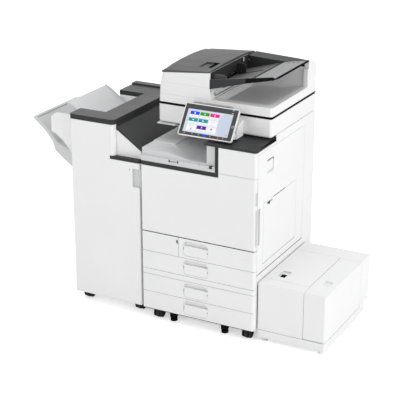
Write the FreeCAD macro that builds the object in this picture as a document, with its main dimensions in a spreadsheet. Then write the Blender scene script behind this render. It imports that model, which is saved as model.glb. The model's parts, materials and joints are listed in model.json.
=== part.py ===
"""Floor-standing A3 office photocopier with a paper bank, a side paper unit and a stacking finisher.

Machine frame, in millimetres: X runs to the right seen from the front, Y to the back, Z up. Its zero is the
main unit's front left edge on the floor. Every finished piece is moved from there by origin_shift(), so that
the part's own origin is the centre of its outer box, on the floor.
"""
import FreeCAD, Part
import math
import os
import Sketcher

DOC = FreeCAD.newDocument("photocopier")
VECTOR = FreeCAD.Vector

# Driving dimensions: alias and value. Heights are above the floor, depths behind the main unit's front, save
# the ones named in FROM_RIGHT and FROM_BACK, which follow the main unit's right side and its back.
DIMENSIONS = {
    "general": {
        "seam": 1.5, "play": 0.3, "pin_play": 0.05, "sheet": 4, "skin": 20, "shell": 3,
        "tab_wide": 12, "tab_eye": 4.5, "tab_pin": 2,
    },
    "main unit": {
        "main_width": 587, "main_depth": 650, "main_corner": 13.5, "left_corner": 8, "under_gap": 56,
        "frame_front": 24, "bank_top": 250, "strip_top": 263,
        "drawer_four_top": 146, "drawer_three_top": 236, "drawer_two_top": 353, "drawer_one_top": 451,
        "drawer_one_left": 195.8, "door_top": 777, "trim_height": 20, "trim_right": 400, "trim_width": 10,
        "shelf_front": 929, "shelf_rise": 10, "shelf_depth": 205, "shelf_thick": 10, "shelf_left": 330,
        "engine_left": 543, "bay_floor": 790,
    },
    "drawers": {
        "grip_left": 220, "grip_width": 130, "grip_height": 74, "grip_depth": 26, "grip_corner": 22,
        "bar_height": 26, "bar_thick": 8, "cup_wall": 3, "tray_depth": 450, "tray_height": 56,
        "tray_wall": 3, "rail_width": 18, "rail_thick": 4, "rail_drop": 14, "window_wide": 42,
        "window_high": 36, "window_left": 511,
    },
    "paper exit": {
        "tray_rim": 856, "plateau": 852, "plateau_end": 140, "low_start": 255, "low_level": 831,
        "pillar_left": 334, "lip_front": 2, "lip_depth": 10, "lip_top": 823, "exit_wall": 4,
        "upper_ledge": 922,
    },
    "engine": {
        "engine_face": 42, "toner_radius": 33, "toner_length": 340, "toner_height": 728, "toner_first": 95,
        "toner_pitch": 105, "toner_front": 30,
    },
    "scanner": {
        "scan_left": 12, "scan_front": 152, "scan_bottom": 943, "scan_top": 1030, "scan_corner": 14,
        "scan_under_round": 20, "glass_left": 60, "glass_wide": 450, "glass_front": 190, "glass_deep": 315,
        "glass_thick": 4, "glass_ledge": 8, "well_floor": 955, "rod_radius": 4, "rod_height": 975,
        "carriage_wide": 36, "hinge_inset": 90, "lug_thick": 15, "knuckle_wide": 44,
        "hinge_reach": 8, "hinge_radius": 7, "hinge_pin": 3,
    },
    "panel": {
        "panel_wide": 270, "panel_high": 154, "panel_thick": 16, "panel_left": 183, "panel_front": 20,
        "panel_low": 944, "panel_tilt": 34.8, "panel_corner": 8, "glass_rim": 4, "screen_inset": 1.6,
        "arm_left": 352, "arm_width": 96, "arm_top": 1014, "pivot_depth": 64, "pivot_height": 957,
        "pivot_radius": 12.4, "pivot_pin": 4, "lug_width": 12,
    },
    "feeder": {
        "feed_bottom": 1034, "feed_left": 13, "deck_top": 1083, "block_right": 277, "block_left_top": 1180,
        "block_right_top": 1204, "block_lean": 18, "cover_left": 32, "cover_right": 275, "crown_left": 28.5,
        "crown_right": 12.5, "crown_edge": 14, "cover_round": 5, "dish_left": 292, "dish_right": 560,
        "dish_front": 192, "dish_depth": 26, "tail_front": 94, "tail_top": 1176, "post_left": 566,
        "post_gap": 2.2, "post_top": 1200, "slot_start": 1135, "slot_joint": 1184,
        "slot_end": 1208, "joint_at": 452,
        "slot_floor": 5, "side_wall": 6, "side_left_top": 1175, "side_joint_top": 1203, "rim_left_top": 1199,
        "rim_right_top": 1184, "tray_corner": 30, "tray_axis_in": 9, "tray_barrel": 8, "tray_pin": 3,
        "fence_long": 90, "fence_high": 30, "fence_thick": 5, "fence_start": 330,
        "fence_front_at": 185, "fence_back_at": 180, "roller_radius": 12,
    },
    "right side": {
        "duplex_back": 117, "duplex_low": 327, "duplex_high": 903, "duplex_thick": 38,
        "pivot_inset": 8, "duplex_hollow": 9, "bypass_play": 0.6, "bypass_pin": 3, "lever_pin": 2,
        "lever_round": 4, "lever_drop": 13, "bypass_front": 84, "bypass_back": 205, "bypass_low": 364,
        "bypass_high": 659, "bypass_thick": 14, "pull_front": 115, "pull_wide": 68, "pull_low": 789,
        "pull_high": 856, "pull_depth": 26, "lever_thick": 5, "latch_front": 118, "latch_wide": 62,
        "vent_pitch": 9.8, "vent_low": 476, "vent_first": 5.5,
        "vent_first_wide": 13, "vent_second": 28, "vent_wide": 20, "vent_high": 5, "vent_deep": 3,
    },
    "finisher": {
        "fin_left": 385, "fin_gap": 10, "fin_front": 6, "fin_back": 30, "fin_bottom": 60, "fin_door_top": 774,
        "fin_door_thick": 20, "fin_hinge_round": 10, "ledge_thick": 14, "ledge_left": 167,
        "column_right": 143, "column_top": 941, "cap_top": 964, "cap_corner": 26, "arm_depth": 105,
        "arm_back": 190, "notch_right": 245, "ridge_front": 72, "ridge_high": 8, "grip_low": 655,
        "grip_high": 745, "grip_in": 39, "grip_sink": 12, "bridge_front": 30, "bridge_back": 75,
        "bridge_high": 916, "bridge_low": 827, "plate_thick": 9,
    },
    "finisher trays": {
        "upper_out": 464, "upper_out_top": 980, "upper_mid": 387, "upper_mid_top": 930, "upper_in_top": 868,
        "upper_thick": 9, "upper_front": 108, "upper_back": 195, "lower_out": 644, "lower_out_top": 893,
        "lower_knee": 565, "lower_knee_top": 838, "lower_fold": 513, "lower_fold_top": 780, "lower_in": 388,
        "lower_in_top": 729, "lift_slot_low": 200, "lift_slot_high": 726, "lift_slot_wide": 20,
        "lift_slot_in": 45, "lift_arm_low": 660, "lift_arm_high": 722, "lower_front": 85,
        "lower_back": 188, "tray_rim_wall": 5, "tray_sink": 10,
        "bracket_low": 640, "guard_front": 40, "guard_thick": 12, "guard_out": 513, "guard_top": 944,
    },
    "side unit": {
        "side_left": 5, "side_right": 339, "side_front": 29, "side_back": 77, "side_top": 294,
        "side_low": 22, "skirt_top": 61, "side_split": 231, "side_tail": 183, "side_step_back": 132,
        "side_step_top": 66, "side_wall_thick": 5, "side_corner": 10, "lid_front": 96, "cup_sink": 10,
        "left_cup_at": 53, "left_cup_wide": 42, "left_cup_front": 135, "left_cup_deep": 70,
        "right_cup_at": 269, "right_cup_wide": 40, "right_cup_front": 137, "right_cup_deep": 56,
        "side_plate_level": 96, "side_pin": 2.5, "lid_round": 5, "cover_axis": 6,
    },
    "casters and feet": {
        "wheel_radius": 25, "wheel_width": 18, "tread_bevel": 2, "axle_radius": 3, "trail": 14,
        "fork_disc": 20, "fork_disc_thick": 4, "cheek": 3.5, "cheek_gap": 0.6, "race_radius": 18,
        "front_axle": 42, "left_caster": 69, "right_caster": 538, "rear_axle": 50, "rear_right_caster": 505,
        "fin_axle": 79, "fin_left_caster": 350, "fin_right_caster": 57, "fin_rear_axle": 90,
        "foot_depth": 40, "foot_left": 148, "foot_right": 420, "foot_radius": 17, "foot_high": 14,
        "stud_radius": 6,
    },
}

FROM_RIGHT = ("side_left", "side_right", "side_split", "left_cup_at", "right_cup_at")
FROM_BACK = ("tail_front", "fence_back_at", "duplex_back", "bypass_back", "fin_back", "arm_back",
             "ridge_front", "bridge_back", "upper_back", "lower_back", "side_back", "side_tail",
             "side_step_back", "rear_axle", "fin_rear_axle")


class Size:
    """A number together with the spreadsheet expression that it comes from."""

    def __init__(self, value, text):
        self.value = float(value)
        self.text = text

    def _join(self, other, sign, value):
        return Size(value, "(%s %s %s)" % (self.text, sign, other.text))

    def __add__(self, other):
        other = as_size(other)
        return self._join(other, "+", self.value + other.value)

    def __sub__(self, other):
        other = as_size(other)
        return self._join(other, "-", self.value - other.value)

    def __mul__(self, other):
        other = as_size(other)
        return self._join(other, "*", self.value * other.value)

    def __truediv__(self, other):
        other = as_size(other)
        return self._join(other, "/", self.value / other.value)

    def __radd__(self, other):
        return as_size(other) + self

    def __rsub__(self, other):
        return as_size(other) - self

    def __rmul__(self, other):
        return as_size(other) * self

    def __neg__(self):
        return as_size(0) - self


def as_size(number):
    """Wrap a plain number, so that it can stand in an expression."""
    if isinstance(number, Size):
        return number
    return Size(number, "(%s)" % repr(float(number)))


def cosine(angle):
    return Size(math.cos(math.radians(angle.value)), "cos(%s)" % angle.text)


def sine(angle):
    return Size(math.sin(math.radians(angle.value)), "sin(%s)" % angle.text)


class Sizes:
    """The spreadsheet's cells as attributes."""


def fill_sheet():
    """Write the driving dimensions into the spreadsheet and return them by name."""
    sheet = DOC.addObject("Spreadsheet::Sheet", "dims")
    sizes = Sizes()
    row = 1
    for group, cells in DIMENSIONS.items():
        sheet.set("A%d" % row, group)
        row += 1
        for alias, number in cells.items():
            sheet.set("A%d" % row, alias)
            sheet.set("B%d" % row, str(number))
            sheet.setAlias("B%d" % row, alias)
            setattr(sizes, alias, Size(number, "dims.%s" % alias))
            row += 1
    for alias in FROM_RIGHT:
        setattr(sizes, alias, sizes.main_width + getattr(sizes, alias))
    for alias in FROM_BACK:
        setattr(sizes, alias, sizes.main_depth - getattr(sizes, alias))
    DOC.recompute()
    return sizes


S = fill_sheet()
NODES = []


def bind(item, path, size):
    """Tie one property of an object to the spreadsheet."""
    item.setExpression(path, as_size(size).text)


def origin_shift():
    """How far every piece moves from the machine frame to the part's own frame."""
    low_x = -S.lower_out
    low_y = as_size(0)
    high_y = S.main_depth + S.hinge_reach + S.hinge_radius
    return -(low_x + S.side_right) / 2, -(low_y + high_y) / 2


SHIFT_X, SHIFT_Y = origin_shift()


def finish(item, label, x=0, y=0, z=0):
    """Name a finished piece, put it in its place in the part's frame and list it for export."""
    item.Label = label
    bind(item, "Placement.Base.x", SHIFT_X + x)
    bind(item, "Placement.Base.y", SHIFT_Y + y)
    bind(item, "Placement.Base.z", z)
    NODES.append(item)
    return item


def box(name, x, y, z):
    """A block between two limits on each axis."""
    block = DOC.addObject("Part::Box", name)
    for side, axis, (low, high) in (("Length", "x", x), ("Width", "y", y), ("Height", "z", z)):
        bind(block, side, as_size(high) - low)
        bind(block, "Placement.Base.%s" % axis, low)
    return block


def rod(name, axis, centre, radius, low, high):
    """A cylinder along X, Y or Z; centre holds its two other coordinates in X, Y, Z order."""
    turn = {"X": (VECTOR(0, 1, 0), 90), "Y": (VECTOR(1, 0, 0), -90), "Z": (VECTOR(0, 0, 1), 0)}[axis]
    along = axis.lower()
    across = [letter for letter in "xyz" if letter != along]
    cylinder = DOC.addObject("Part::Cylinder", name)
    cylinder.Placement = FreeCAD.Placement(VECTOR(), FreeCAD.Rotation(*turn))
    bind(cylinder, "Radius", radius)
    bind(cylinder, "Height", as_size(high) - low)
    bind(cylinder, "Placement.Base.%s" % along, low)
    for letter, place in zip(across, centre):
        bind(cylinder, "Placement.Base.%s" % letter, place)
    return cylinder


def fuse(name, pieces):
    joined = DOC.addObject("Part::MultiFuse", name)
    joined.Shapes = pieces
    joined.Refine = True
    return joined


def cut(name, base, tool):
    rest = DOC.addObject("Part::Cut", name)
    rest.Base = base
    rest.Tool = tool
    return rest


def group(name, pieces):
    """Separate solids that share one node."""
    compound = DOC.addObject("Part::Compound", name)
    compound.Links = pieces
    return compound


def slabs(label, blocks):
    """A node of plates: each entry is the plate's limits on X, Y and Z."""
    plates = [box("%s_plate" % label, *limits) for limits in blocks]
    return finish(group(label, plates), label)


PLANES = {"XY": ("XY_Plane", 1), "YZ": ("YZ_Plane", 1), "XZ": ("XZ_Plane", -1)}


class Piece:
    """A PartDesign body built from sketches on its own origin planes."""

    def __init__(self, label):
        self.label = label
        self.body = DOC.addObject("PartDesign::Body", label)
        self.last = None

    def plane(self, role):
        return next(item for item in self.body.Origin.OriginFeatures if item.Role == role)

    def sketch(self, plane, level):
        """A sketch parallel to an origin plane, at a level along that plane's own axis."""
        role, sign = PLANES[plane]
        sketch = self.body.newObject("Sketcher::SketchObject", self.label + "_sketch")
        sketch.AttachmentSupport = [(self.plane(role), "")]
        sketch.MapMode = "FlatFace"
        bind(sketch, "AttachmentOffset.Base.z", as_size(level) * sign)
        return sketch

    def polygon(self, sketch, points):
        """A closed outline whose every corner is dimensioned from the origin."""
        flat = [(as_size(u), as_size(v)) for u, v in points]
        count = len(flat)
        for index, (u, v) in enumerate(flat):
            after = flat[(index + 1) % count]
            start = VECTOR(u.value, v.value, 0)
            sketch.addGeometry(Part.LineSegment(start, VECTOR(after[0].value, after[1].value, 0)), False)
        for index in range(count):
            sketch.addConstraint(Sketcher.Constraint("Coincident", index, 2, (index + 1) % count, 1))
        for index, corner in enumerate(flat):
            for kind, size in zip(("DistanceX", "DistanceY"), corner):
                number = sketch.addConstraint(Sketcher.Constraint(kind, -1, 1, index, 1, size.value))
                bind(sketch, "Constraints[%d]" % number, size)

    def circles(self, sketch, rings):
        """Circles given as centre u, centre v and radius."""
        for index, (u, v, radius) in enumerate(rings):
            u, v, radius = as_size(u), as_size(v), as_size(radius)
            circle = Part.Circle(VECTOR(u.value, v.value, 0), VECTOR(0, 0, 1), radius.value)
            sketch.addGeometry(circle, False)
            for kind, size in (("DistanceX", u), ("DistanceY", v)):
                number = sketch.addConstraint(Sketcher.Constraint(kind, -1, 1, index, 3, size.value))
                bind(sketch, "Constraints[%d]" % number, size)
            number = sketch.addConstraint(Sketcher.Constraint("Radius", index, radius.value))
            bind(sketch, "Constraints[%d]" % number, radius)

    def _draw(self, sketch, points, rings):
        if points:
            self.polygon(sketch, points)
        if rings:
            self.circles(sketch, rings)

    def pad(self, plane, low, high, points=None, rings=None):
        """Material between two levels along the plane's axis."""
        sketch = self.sketch(plane, high if plane == "XZ" else low)
        self._draw(sketch, points, rings)
        pad = self.body.newObject("PartDesign::Pad", self.label + "_pad")
        pad.Profile = sketch
        bind(pad, "Length", as_size(high) - low)
        sketch.Visibility = False
        self.last = pad
        return self

    def pocket(self, plane, low, high, points=None, rings=None):
        """A cut between two levels along the plane's axis, which must take material away."""
        DOC.recompute()
        before = self.last.Shape.Volume
        sketch = self.sketch(plane, low if plane == "XZ" else high)
        self._draw(sketch, points, rings)
        pocket = self.body.newObject("PartDesign::Pocket", self.label + "_pocket")
        pocket.Profile = sketch
        bind(pocket, "Length", as_size(high) - low)
        self.last = pocket
        DOC.recompute()
        if not pocket.Shape.Volume < before - 1:
            raise RuntimeError("%s: a pocket cut nothing" % self.label)
        return self

    def revolve(self, points):
        """Turn a half section, drawn on the XZ plane, about the body's Z axis."""
        sketch = self.sketch("XZ", 0)
        self.polygon(sketch, points)
        turned = self.body.newObject("PartDesign::Revolution", self.label + "_turned")
        turned.Profile = sketch
        turned.ReferenceAxis = (self.plane("Z_Axis"), [""])
        turned.Angle = 360
        self.last = turned
        return self

    def loft(self, plane, sections):
        """Material stretched over outlines with the same number of corners, each at its own level."""
        sketches = []
        for level, points in sections:
            sketch = self.sketch(plane, level)
            self.polygon(sketch, points)
            sketches.append(sketch)
        loft = self.body.newObject("PartDesign::AdditiveLoft", self.label + "_loft")
        loft.Profile = sketches[0]
        loft.Sections = sketches[1:]
        loft.Ruled = True
        self.last = loft
        return self

    def repeat(self, axis, length, count):
        """Copy the last feature along an axis of the body."""
        pattern = self.body.newObject("PartDesign::LinearPattern", self.label + "_pattern")
        pattern.Originals = [self.last]
        pattern.Direction = (self.plane("%s_Axis" % axis), [""])
        bind(pattern, "Length", length)
        pattern.Occurrences = count
        self.body.Tip = pattern
        self.last = pattern
        return self

    def edges(self, wanted):
        """Names of the edges that pass the test, which is given each edge and its middle point."""
        DOC.recompute()
        names = []
        for number, edge in enumerate(self.last.Shape.Edges, 1):
            middle = edge.valueAt((edge.FirstParameter + edge.LastParameter) / 2)
            if wanted(edge, middle):
                names.append("Edge%d" % number)
        if not names:
            raise RuntimeError("%s: no edge to dress" % self.label)
        return names

    def round(self, radius, wanted):
        """Fillet the edges that pass the test."""
        names = self.edges(wanted)
        fillet = self.body.newObject("PartDesign::Fillet", self.label + "_round")
        fillet.Base = (self.last, names)
        bind(fillet, "Radius", radius)
        self.last = fillet
        return self

    def bevel(self, size, wanted):
        """Chamfer the edges that pass the test."""
        names = self.edges(wanted)
        chamfer = self.body.newObject("PartDesign::Chamfer", self.label + "_bevel")
        chamfer.Base = (self.last, names)
        bind(chamfer, "Size", size)
        self.last = chamfer
        return self

    def corner(self, plane, radius, u, v):
        """Fillet the edges that stand on a plane's point (u, v)."""
        axes = {"XY": ("x", "y"), "YZ": ("y", "z"), "XZ": ("x", "z")}[plane]
        place = [as_size(u).value, as_size(v).value]

        def on_point(edge, middle):
            ends = [vertex.Point for vertex in edge.Vertexes] + [middle]
            return all(abs(getattr(end, axis) - at) < 0.01 for end in ends for axis, at in zip(axes, place))

        return self.round(radius, on_point)

    def done(self, label=None, x=0, y=0, z=0):
        self.body.Tip = self.last
        return finish(self.body, label or self.label, x, y, z)

    def part(self):
        """The body as a member of a group."""
        self.body.Tip = self.last
        return self.body


def rectangle(low_u, high_u, low_v, high_v):
    return [(low_u, low_v), (high_u, low_v), (high_u, high_v), (low_u, high_v)]


def pin_gaps(piece, plane, starts, gap, u, v):
    """Gaps in a hinged panel for its carrying tabs, each with ears and the pin across it."""
    for start in starts:
        end = start + S.tab_wide
        piece.pocket(plane, start - S.play, end + S.play, gap)
        for low, high in ((start - 4, start - S.play), (end + S.play, end + 4)):
            piece.pad(plane, low, high, rings=[(u, v, S.tab_eye)])
        piece.pad(plane, start - 1, end + 1, rings=[(u, v, S.tab_pin)])


def tabs(name, plane, starts, arm, u, v):
    """Tabs with a bored eye that carry a hinged panel's pins."""
    pieces = []
    for start in starts:
        tab = Piece(name)
        end = start + S.tab_wide
        tab.pad(plane, start, end, arm)
        tab.pad(plane, start, end, rings=[(u, v, S.tab_eye)])
        tab.pocket(plane, start, end, rings=[(u, v, S.tab_pin + S.pin_play)])
        pieces.append(tab.part())
    return pieces


# ---------------------------------------------------------------- main unit: frame and covers

COVER_IN = S.sheet                                   # inner face of the left and lower covers
WALL_IN = S.sheet * 2                                # inner face of the frame's left wall
BANK_RIGHT = S.main_width - WALL_IN                  # inner face of the bank's right wall
ENGINE_RIGHT = S.engine_left - S.sheet               # inner face of the engine's right wall
FRAME_BACK = S.main_depth - S.sheet
DUPLEX_FRONT = S.skin + S.seam
VENT_ROWS = 18                                       # slots in each column on the right side
DOOR_Y = S.left_corner - 1                           # the front door's hinge line
DOOR_Z = S.drawer_one_top + S.seam / 2 + DOOR_Y
DUPLEX_X = S.main_width - S.pivot_inset              # the right door's hinge line
DUPLEX_Z = S.duplex_low + S.pivot_inset


def rail_height(drawer_low):
    """Level on which a drawer's tray runs."""
    return drawer_low + S.rail_drop - S.play


def rails(drawer_low, left, right):
    """A pair of runners under one tray."""
    top = rail_height(drawer_low)
    depth = (S.frame_front + 6, FRAME_BACK - S.sheet)
    height = (top - S.rail_thick, top)
    return [((left, left + S.rail_width), depth, height), ((right - S.rail_width, right), depth, height)]


def bank_frame():
    """Welded sheet box round the two lower drawers."""
    depth = (S.frame_front, FRAME_BACK)
    low, high = S.under_gap, S.bank_top + S.sheet
    plates = [
        ((COVER_IN, S.main_width - S.sheet), depth, (low, low + S.sheet)),
        ((COVER_IN, WALL_IN), depth, (low + S.sheet, high)),
        ((BANK_RIGHT, BANK_RIGHT + S.sheet), depth, (low + S.sheet, high)),
        ((WALL_IN, BANK_RIGHT), (FRAME_BACK - S.sheet, FRAME_BACK), (low + S.sheet, high)),
        ((WALL_IN, BANK_RIGHT), (S.frame_front, FRAME_BACK - S.sheet), (high - S.sheet, high)),
    ]
    for drawer_low in (S.under_gap, S.drawer_four_top):
        plates += rails(drawer_low, WALL_IN, BANK_RIGHT)
    slabs("bank_frame", plates)


def main_frame():
    """Engine frame: floor, walls, the deck over the drawers and the deck under the paper exit."""
    floor = S.bank_top + S.sheet
    deck = S.drawer_one_top + S.seam
    top = S.bay_floor
    inner = (WALL_IN, ENGINE_RIGHT)
    depth = (S.frame_front, FRAME_BACK)
    run = (S.frame_front, FRAME_BACK - S.sheet)
    divider = S.drawer_one_left - S.sheet
    plates = [
        ((COVER_IN, S.main_width - S.sheet), depth, (floor, floor + S.sheet)),
        ((COVER_IN, WALL_IN), depth, (floor + S.sheet, top)),
        ((ENGINE_RIGHT, S.engine_left), depth, (floor + S.sheet, S.shelf_front - S.shelf_thick)),
        (inner, (FRAME_BACK - S.sheet, FRAME_BACK), (floor + S.sheet, S.scan_bottom)),
        (inner, run, (deck, deck + S.sheet)),
        (inner, run, (top - S.sheet, top)),
        ((divider, divider + S.sheet), run, (S.drawer_two_top, deck)),
        ((S.engine_left, S.main_width - S.sheet), (S.duplex_back + S.seam, FRAME_BACK),
         (floor + S.sheet, S.scan_bottom)),
        ((S.pillar_left + S.exit_wall, ENGINE_RIGHT), (S.shelf_depth + S.seam, FRAME_BACK - S.sheet),
         (S.scan_bottom - S.sheet, S.scan_bottom)),
    ]
    plates += rails(S.strip_top, WALL_IN, ENGINE_RIGHT)
    plates += rails(S.drawer_two_top, divider + S.sheet, ENGINE_RIGHT)
    blocks = [box("main_frame_plate", *limits) for limits in plates]
    face = S.frame_front
    front_arm = [(face, deck), (face, deck + S.sheet), (DOOR_Y + 1, DOOR_Z + 4), (DOOR_Y + 2, DOOR_Z - 3)]
    blocks += tabs("front_door_tab", "YZ", front_door_tabs(), front_arm, DOOR_Y, DOOR_Z)
    wall = S.engine_left
    side_arm = [(wall, DUPLEX_Z - 13), (wall, DUPLEX_Z - 5), (DUPLEX_X - 2, DUPLEX_Z + 4),
                (DUPLEX_X + 2, DUPLEX_Z - 4)]
    blocks += tabs("right_door_tab", "XZ", right_door_tabs(), side_arm, DUPLEX_X, DUPLEX_Z)
    finish(group("main_frame", blocks), "main_frame")


def front_door_tabs():
    """Left ends of the tabs that carry the front door."""
    return S.main_width * 0.12, S.main_width * 0.46, S.main_width * 0.82


def right_door_tabs():
    """Front ends of the tabs that carry the right door."""
    run = S.duplex_back - DUPLEX_FRONT
    return DUPLEX_FRONT + run * 0.12, DUPLEX_FRONT + run * 0.48, DUPLEX_FRONT + run * 0.84


def side_and_back_covers():
    """Skins on the left, the right and the back of the main unit."""
    behind = (S.skin + S.seam, FRAME_BACK)
    slabs("left_cover", [
        ((0, COVER_IN), behind, (S.under_gap, S.bay_floor)),
        ((0, COVER_IN), (S.bridge_back + S.seam, FRAME_BACK), (S.bay_floor, S.scan_bottom)),
    ])
    skin = (S.main_width - S.sheet, S.main_width)
    front = DUPLEX_FRONT
    column = S.duplex_back + S.seam
    slabs("right_covers", [
        (skin, (front, FRAME_BACK), (S.under_gap, S.duplex_low - S.seam)),
        (skin, (column, FRAME_BACK), (S.duplex_low - S.seam, S.duplex_high + S.seam)),
        (skin, (front, FRAME_BACK), (S.duplex_high + S.seam, S.shelf_front - S.shelf_thick - S.seam)),
        (skin, (S.shelf_depth + S.seam, FRAME_BACK),
         (S.shelf_front - S.shelf_thick - S.seam, S.scan_bottom)),
    ])


def rear_cover():
    """Back panel with two banks of cooling slots and the opening for the mains inlet."""
    piece = Piece("rear_cover")
    piece.pad("XZ", FRAME_BACK, S.main_depth, rectangle(0, S.main_width, S.under_gap, S.scan_bottom))
    for left in (S.main_width * 0.12, S.main_width * 0.58):
        low = S.drawer_one_top
        piece.pocket("XZ", FRAME_BACK, S.main_depth, rectangle(left, left + 150, low, low + 5))
        piece.repeat("Z", as_size(10) * 14, 15)
    inlet = (S.main_width - 90, S.main_width - 90 + S.window_wide)
    piece.pocket("XZ", FRAME_BACK, S.main_depth, rectangle(*inlet, S.bank_top + 30, S.bank_top + 60))
    piece.done()
    socket = Piece("power_inlet")
    rim = 4
    plate = rectangle(inlet[0] - rim, inlet[1] + rim, S.bank_top + 30 - rim, S.bank_top + 60 + rim)
    socket.pad("XZ", S.main_depth, S.main_depth + 2, plate)
    throat = rectangle(inlet[0] + S.play, inlet[1] - S.play, S.bank_top + 30.3, S.bank_top + 59.7)
    socket.pad("XZ", FRAME_BACK, S.main_depth, throat)
    hollow = rectangle(inlet[0] + 8, inlet[1] - 8, S.bank_top + 36, S.bank_top + 54)
    socket.pocket("XZ", FRAME_BACK + 1, S.main_depth + 2, hollow)
    socket.done()


def front_plate(piece, left, right, low, high):
    """A front panel with the unit's rounded right front corner."""
    piece.pad("XY", low, high, rectangle(left, right, 0, S.skin))
    piece.corner("XY", S.main_corner, right, 0)


def front_panels():
    """Fixed front panels: the strip over the bank, the piece beside drawer one, the upper right cover."""
    half = S.seam / 2
    strip = Piece("front_strip")
    front_plate(strip, half, S.main_width, S.drawer_three_top + half, S.strip_top - half)
    strip.corner("XY", S.left_corner, half, 0)
    beside = Piece("front_beside")
    low, high = S.drawer_two_top + half, S.drawer_one_top - half
    beside.pad("XY", low, high, rectangle(half, S.drawer_one_left - half, 0, S.skin))
    beside.corner("XY", S.left_corner, half, 0)
    hole = rectangle(S.drawer_one_left - 12, S.drawer_one_left - 5, high - 28, high - 14)
    beside.pocket("XZ", 0, S.skin, hole)
    upper = Piece("front_upper")
    left = S.trim_right + half
    low = S.door_top + S.trim_height + S.seam
    high = S.shelf_front - S.shelf_thick - S.seam
    front_plate(upper, left, S.main_width, low, high)
    carrier = box("front_upper_carrier", (left + 8, ENGINE_RIGHT), (S.skin, S.frame_front),
                  (low + 10, high - 10))
    behind = box("front_beside_carrier", (COVER_IN, S.drawer_one_left - 20), (S.skin, S.frame_front),
                 (S.drawer_two_top + 10, S.drawer_one_top - 10))
    parts = [strip.part(), beside.part(), upper.part(), carrier, behind]
    ties = box("front_strip_carrier", (WALL_IN + 8, BANK_RIGHT - 8), (S.skin, S.frame_front),
               (S.bank_top, S.bank_top + S.sheet))
    finish(group("front_panels", parts + [ties]), "front_panels")


def power_switch():
    """Push switch in the fixed panel beside drawer one."""
    high = S.drawer_one_top - S.seam / 2
    left = S.drawer_one_left - 12
    piece = Piece("power_switch")
    key = rectangle(left + S.play, left + 7 - S.play, high - 28 + S.play, high - 14 - S.play)
    piece.pad("XZ", 0, S.skin, key)
    piece.done()


# ---------------------------------------------------------------- drawers and front door

def drawer(number, low, high, left, tray_left, tray_right):
    """A drawer: front with a moulded grip, and the tray that runs on its two rails."""
    half = S.seam / 2
    middle = (low + high) / 2
    grip_right = S.grip_left + S.grip_width
    front = Piece("drawer_%d_front" % number)
    front_plate(front, left + half, S.main_width, low + half, high - half)
    if left.value == 0:
        front.corner("XY", S.left_corner, left + half, 0)
    cup_low = middle - S.grip_height / 2
    cup_high = middle + S.grip_height / 2
    outer = rectangle(S.grip_left - S.cup_wall, grip_right + S.cup_wall, cup_low - S.cup_wall,
                      cup_high + S.cup_wall)
    cup_back = S.grip_depth + S.cup_wall
    front.pad("XZ", S.skin, cup_back, outer)
    inner = rectangle(S.grip_left, grip_right, cup_low, cup_high)
    front.pocket("XZ", 0, S.grip_depth, inner)
    for u in (S.grip_left, grip_right):
        for v in (cup_low, cup_high):
            front.corner("XZ", S.grip_corner, u, v)
    bar_low, bar_high = middle - S.bar_height / 2, middle + S.bar_height / 2
    front.pad("XZ", 1, 1 + S.bar_thick, rectangle(S.grip_left, grip_right, bar_low, bar_high))
    bar_levels = (bar_low.value, bar_high.value)
    bar_faces = (1, 1 + S.bar_thick.value)

    def bar_edge(edge, point):
        on_level = any(abs(point.z - level) < 0.01 for level in bar_levels)
        on_face = any(abs(point.y - face) < 0.01 for face in bar_faces)
        return on_level and on_face and edge.Length > S.grip_width.value / 2

    front.round(S.bar_thick * 0.45, bar_edge)
    if number == 1:
        window = rectangle(S.window_left, S.window_left + S.window_wide, high - 10 - S.window_high, high - 10)
        front.pocket("XZ", 0, 1.2, window)
    front.done()
    tray = Piece("drawer_%d_tray" % number)
    bottom = low + S.rail_drop
    top = bottom + S.tray_height
    back = cup_back + S.tray_depth
    tray.pad("XY", bottom, top, rectangle(tray_left, tray_right, cup_back, back))
    wall = S.tray_wall
    tray.pocket("XY", bottom + wall, top, rectangle(tray_left + wall, tray_right - wall, cup_back + wall,
                                                    back - wall))
    tray.done()


def drawers():
    """The two engine drawers over the two bank drawers."""
    zero = as_size(0)
    slack = S.seam
    left = WALL_IN + slack
    drawer(1, S.drawer_two_top, S.drawer_one_top, S.drawer_one_left, S.drawer_one_left + slack,
           ENGINE_RIGHT - slack)
    drawer(2, S.strip_top, S.drawer_two_top, zero, left, ENGINE_RIGHT - slack)
    drawer(3, S.drawer_four_top, S.drawer_three_top, zero, left, BANK_RIGHT - slack)
    drawer(4, S.under_gap, S.drawer_four_top, zero, left, BANK_RIGHT - slack)


def front_door():
    """Drop-down door with a rolled lower edge about its hinge line and a finger slot in its side."""
    half = S.seam / 2
    low, low_top = S.drawer_one_top + half, S.door_top
    high = S.door_top + S.trim_height
    step = S.trim_right + half
    piece = Piece("front_door")
    outline = [(half, low), (S.main_width, low), (S.main_width, high), (step, high), (step, low_top),
               (half, low_top)]
    piece.pad("XZ", 0, S.skin, outline)
    piece.corner("XY", S.main_corner, S.main_width, 0)
    piece.corner("XY", S.left_corner, half, 0)

    def foot(edge, point):
        return abs(point.z - low.value) < 0.01 and point.y < S.skin.value - 1 and \
            all(abs(vertex.Z - low.value) < 0.01 for vertex in edge.Vertexes) and \
            abs(edge.Vertexes[0].X - edge.Vertexes[-1].X) > 1

    piece.round(S.left_corner - 1, foot)
    piece.corner("YZ", 5, S.skin, low)
    slot = rectangle(S.skin - 16, S.skin, 672, 734)
    piece.pocket("YZ", S.main_width - 6, S.main_width, slot)
    vents(piece, S.vent_first, S.vent_first_wide, S.vent_deep + 2)
    reach = S.tab_eye + S.play * 2
    gap = rectangle(DOOR_Y - reach, S.skin, low, DOOR_Z + reach + 2)
    pin_gaps(piece, "YZ", front_door_tabs(), gap, DOOR_Y, DOOR_Z)
    piece.done()


# ---------------------------------------------------------------- engine behind the door

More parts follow.
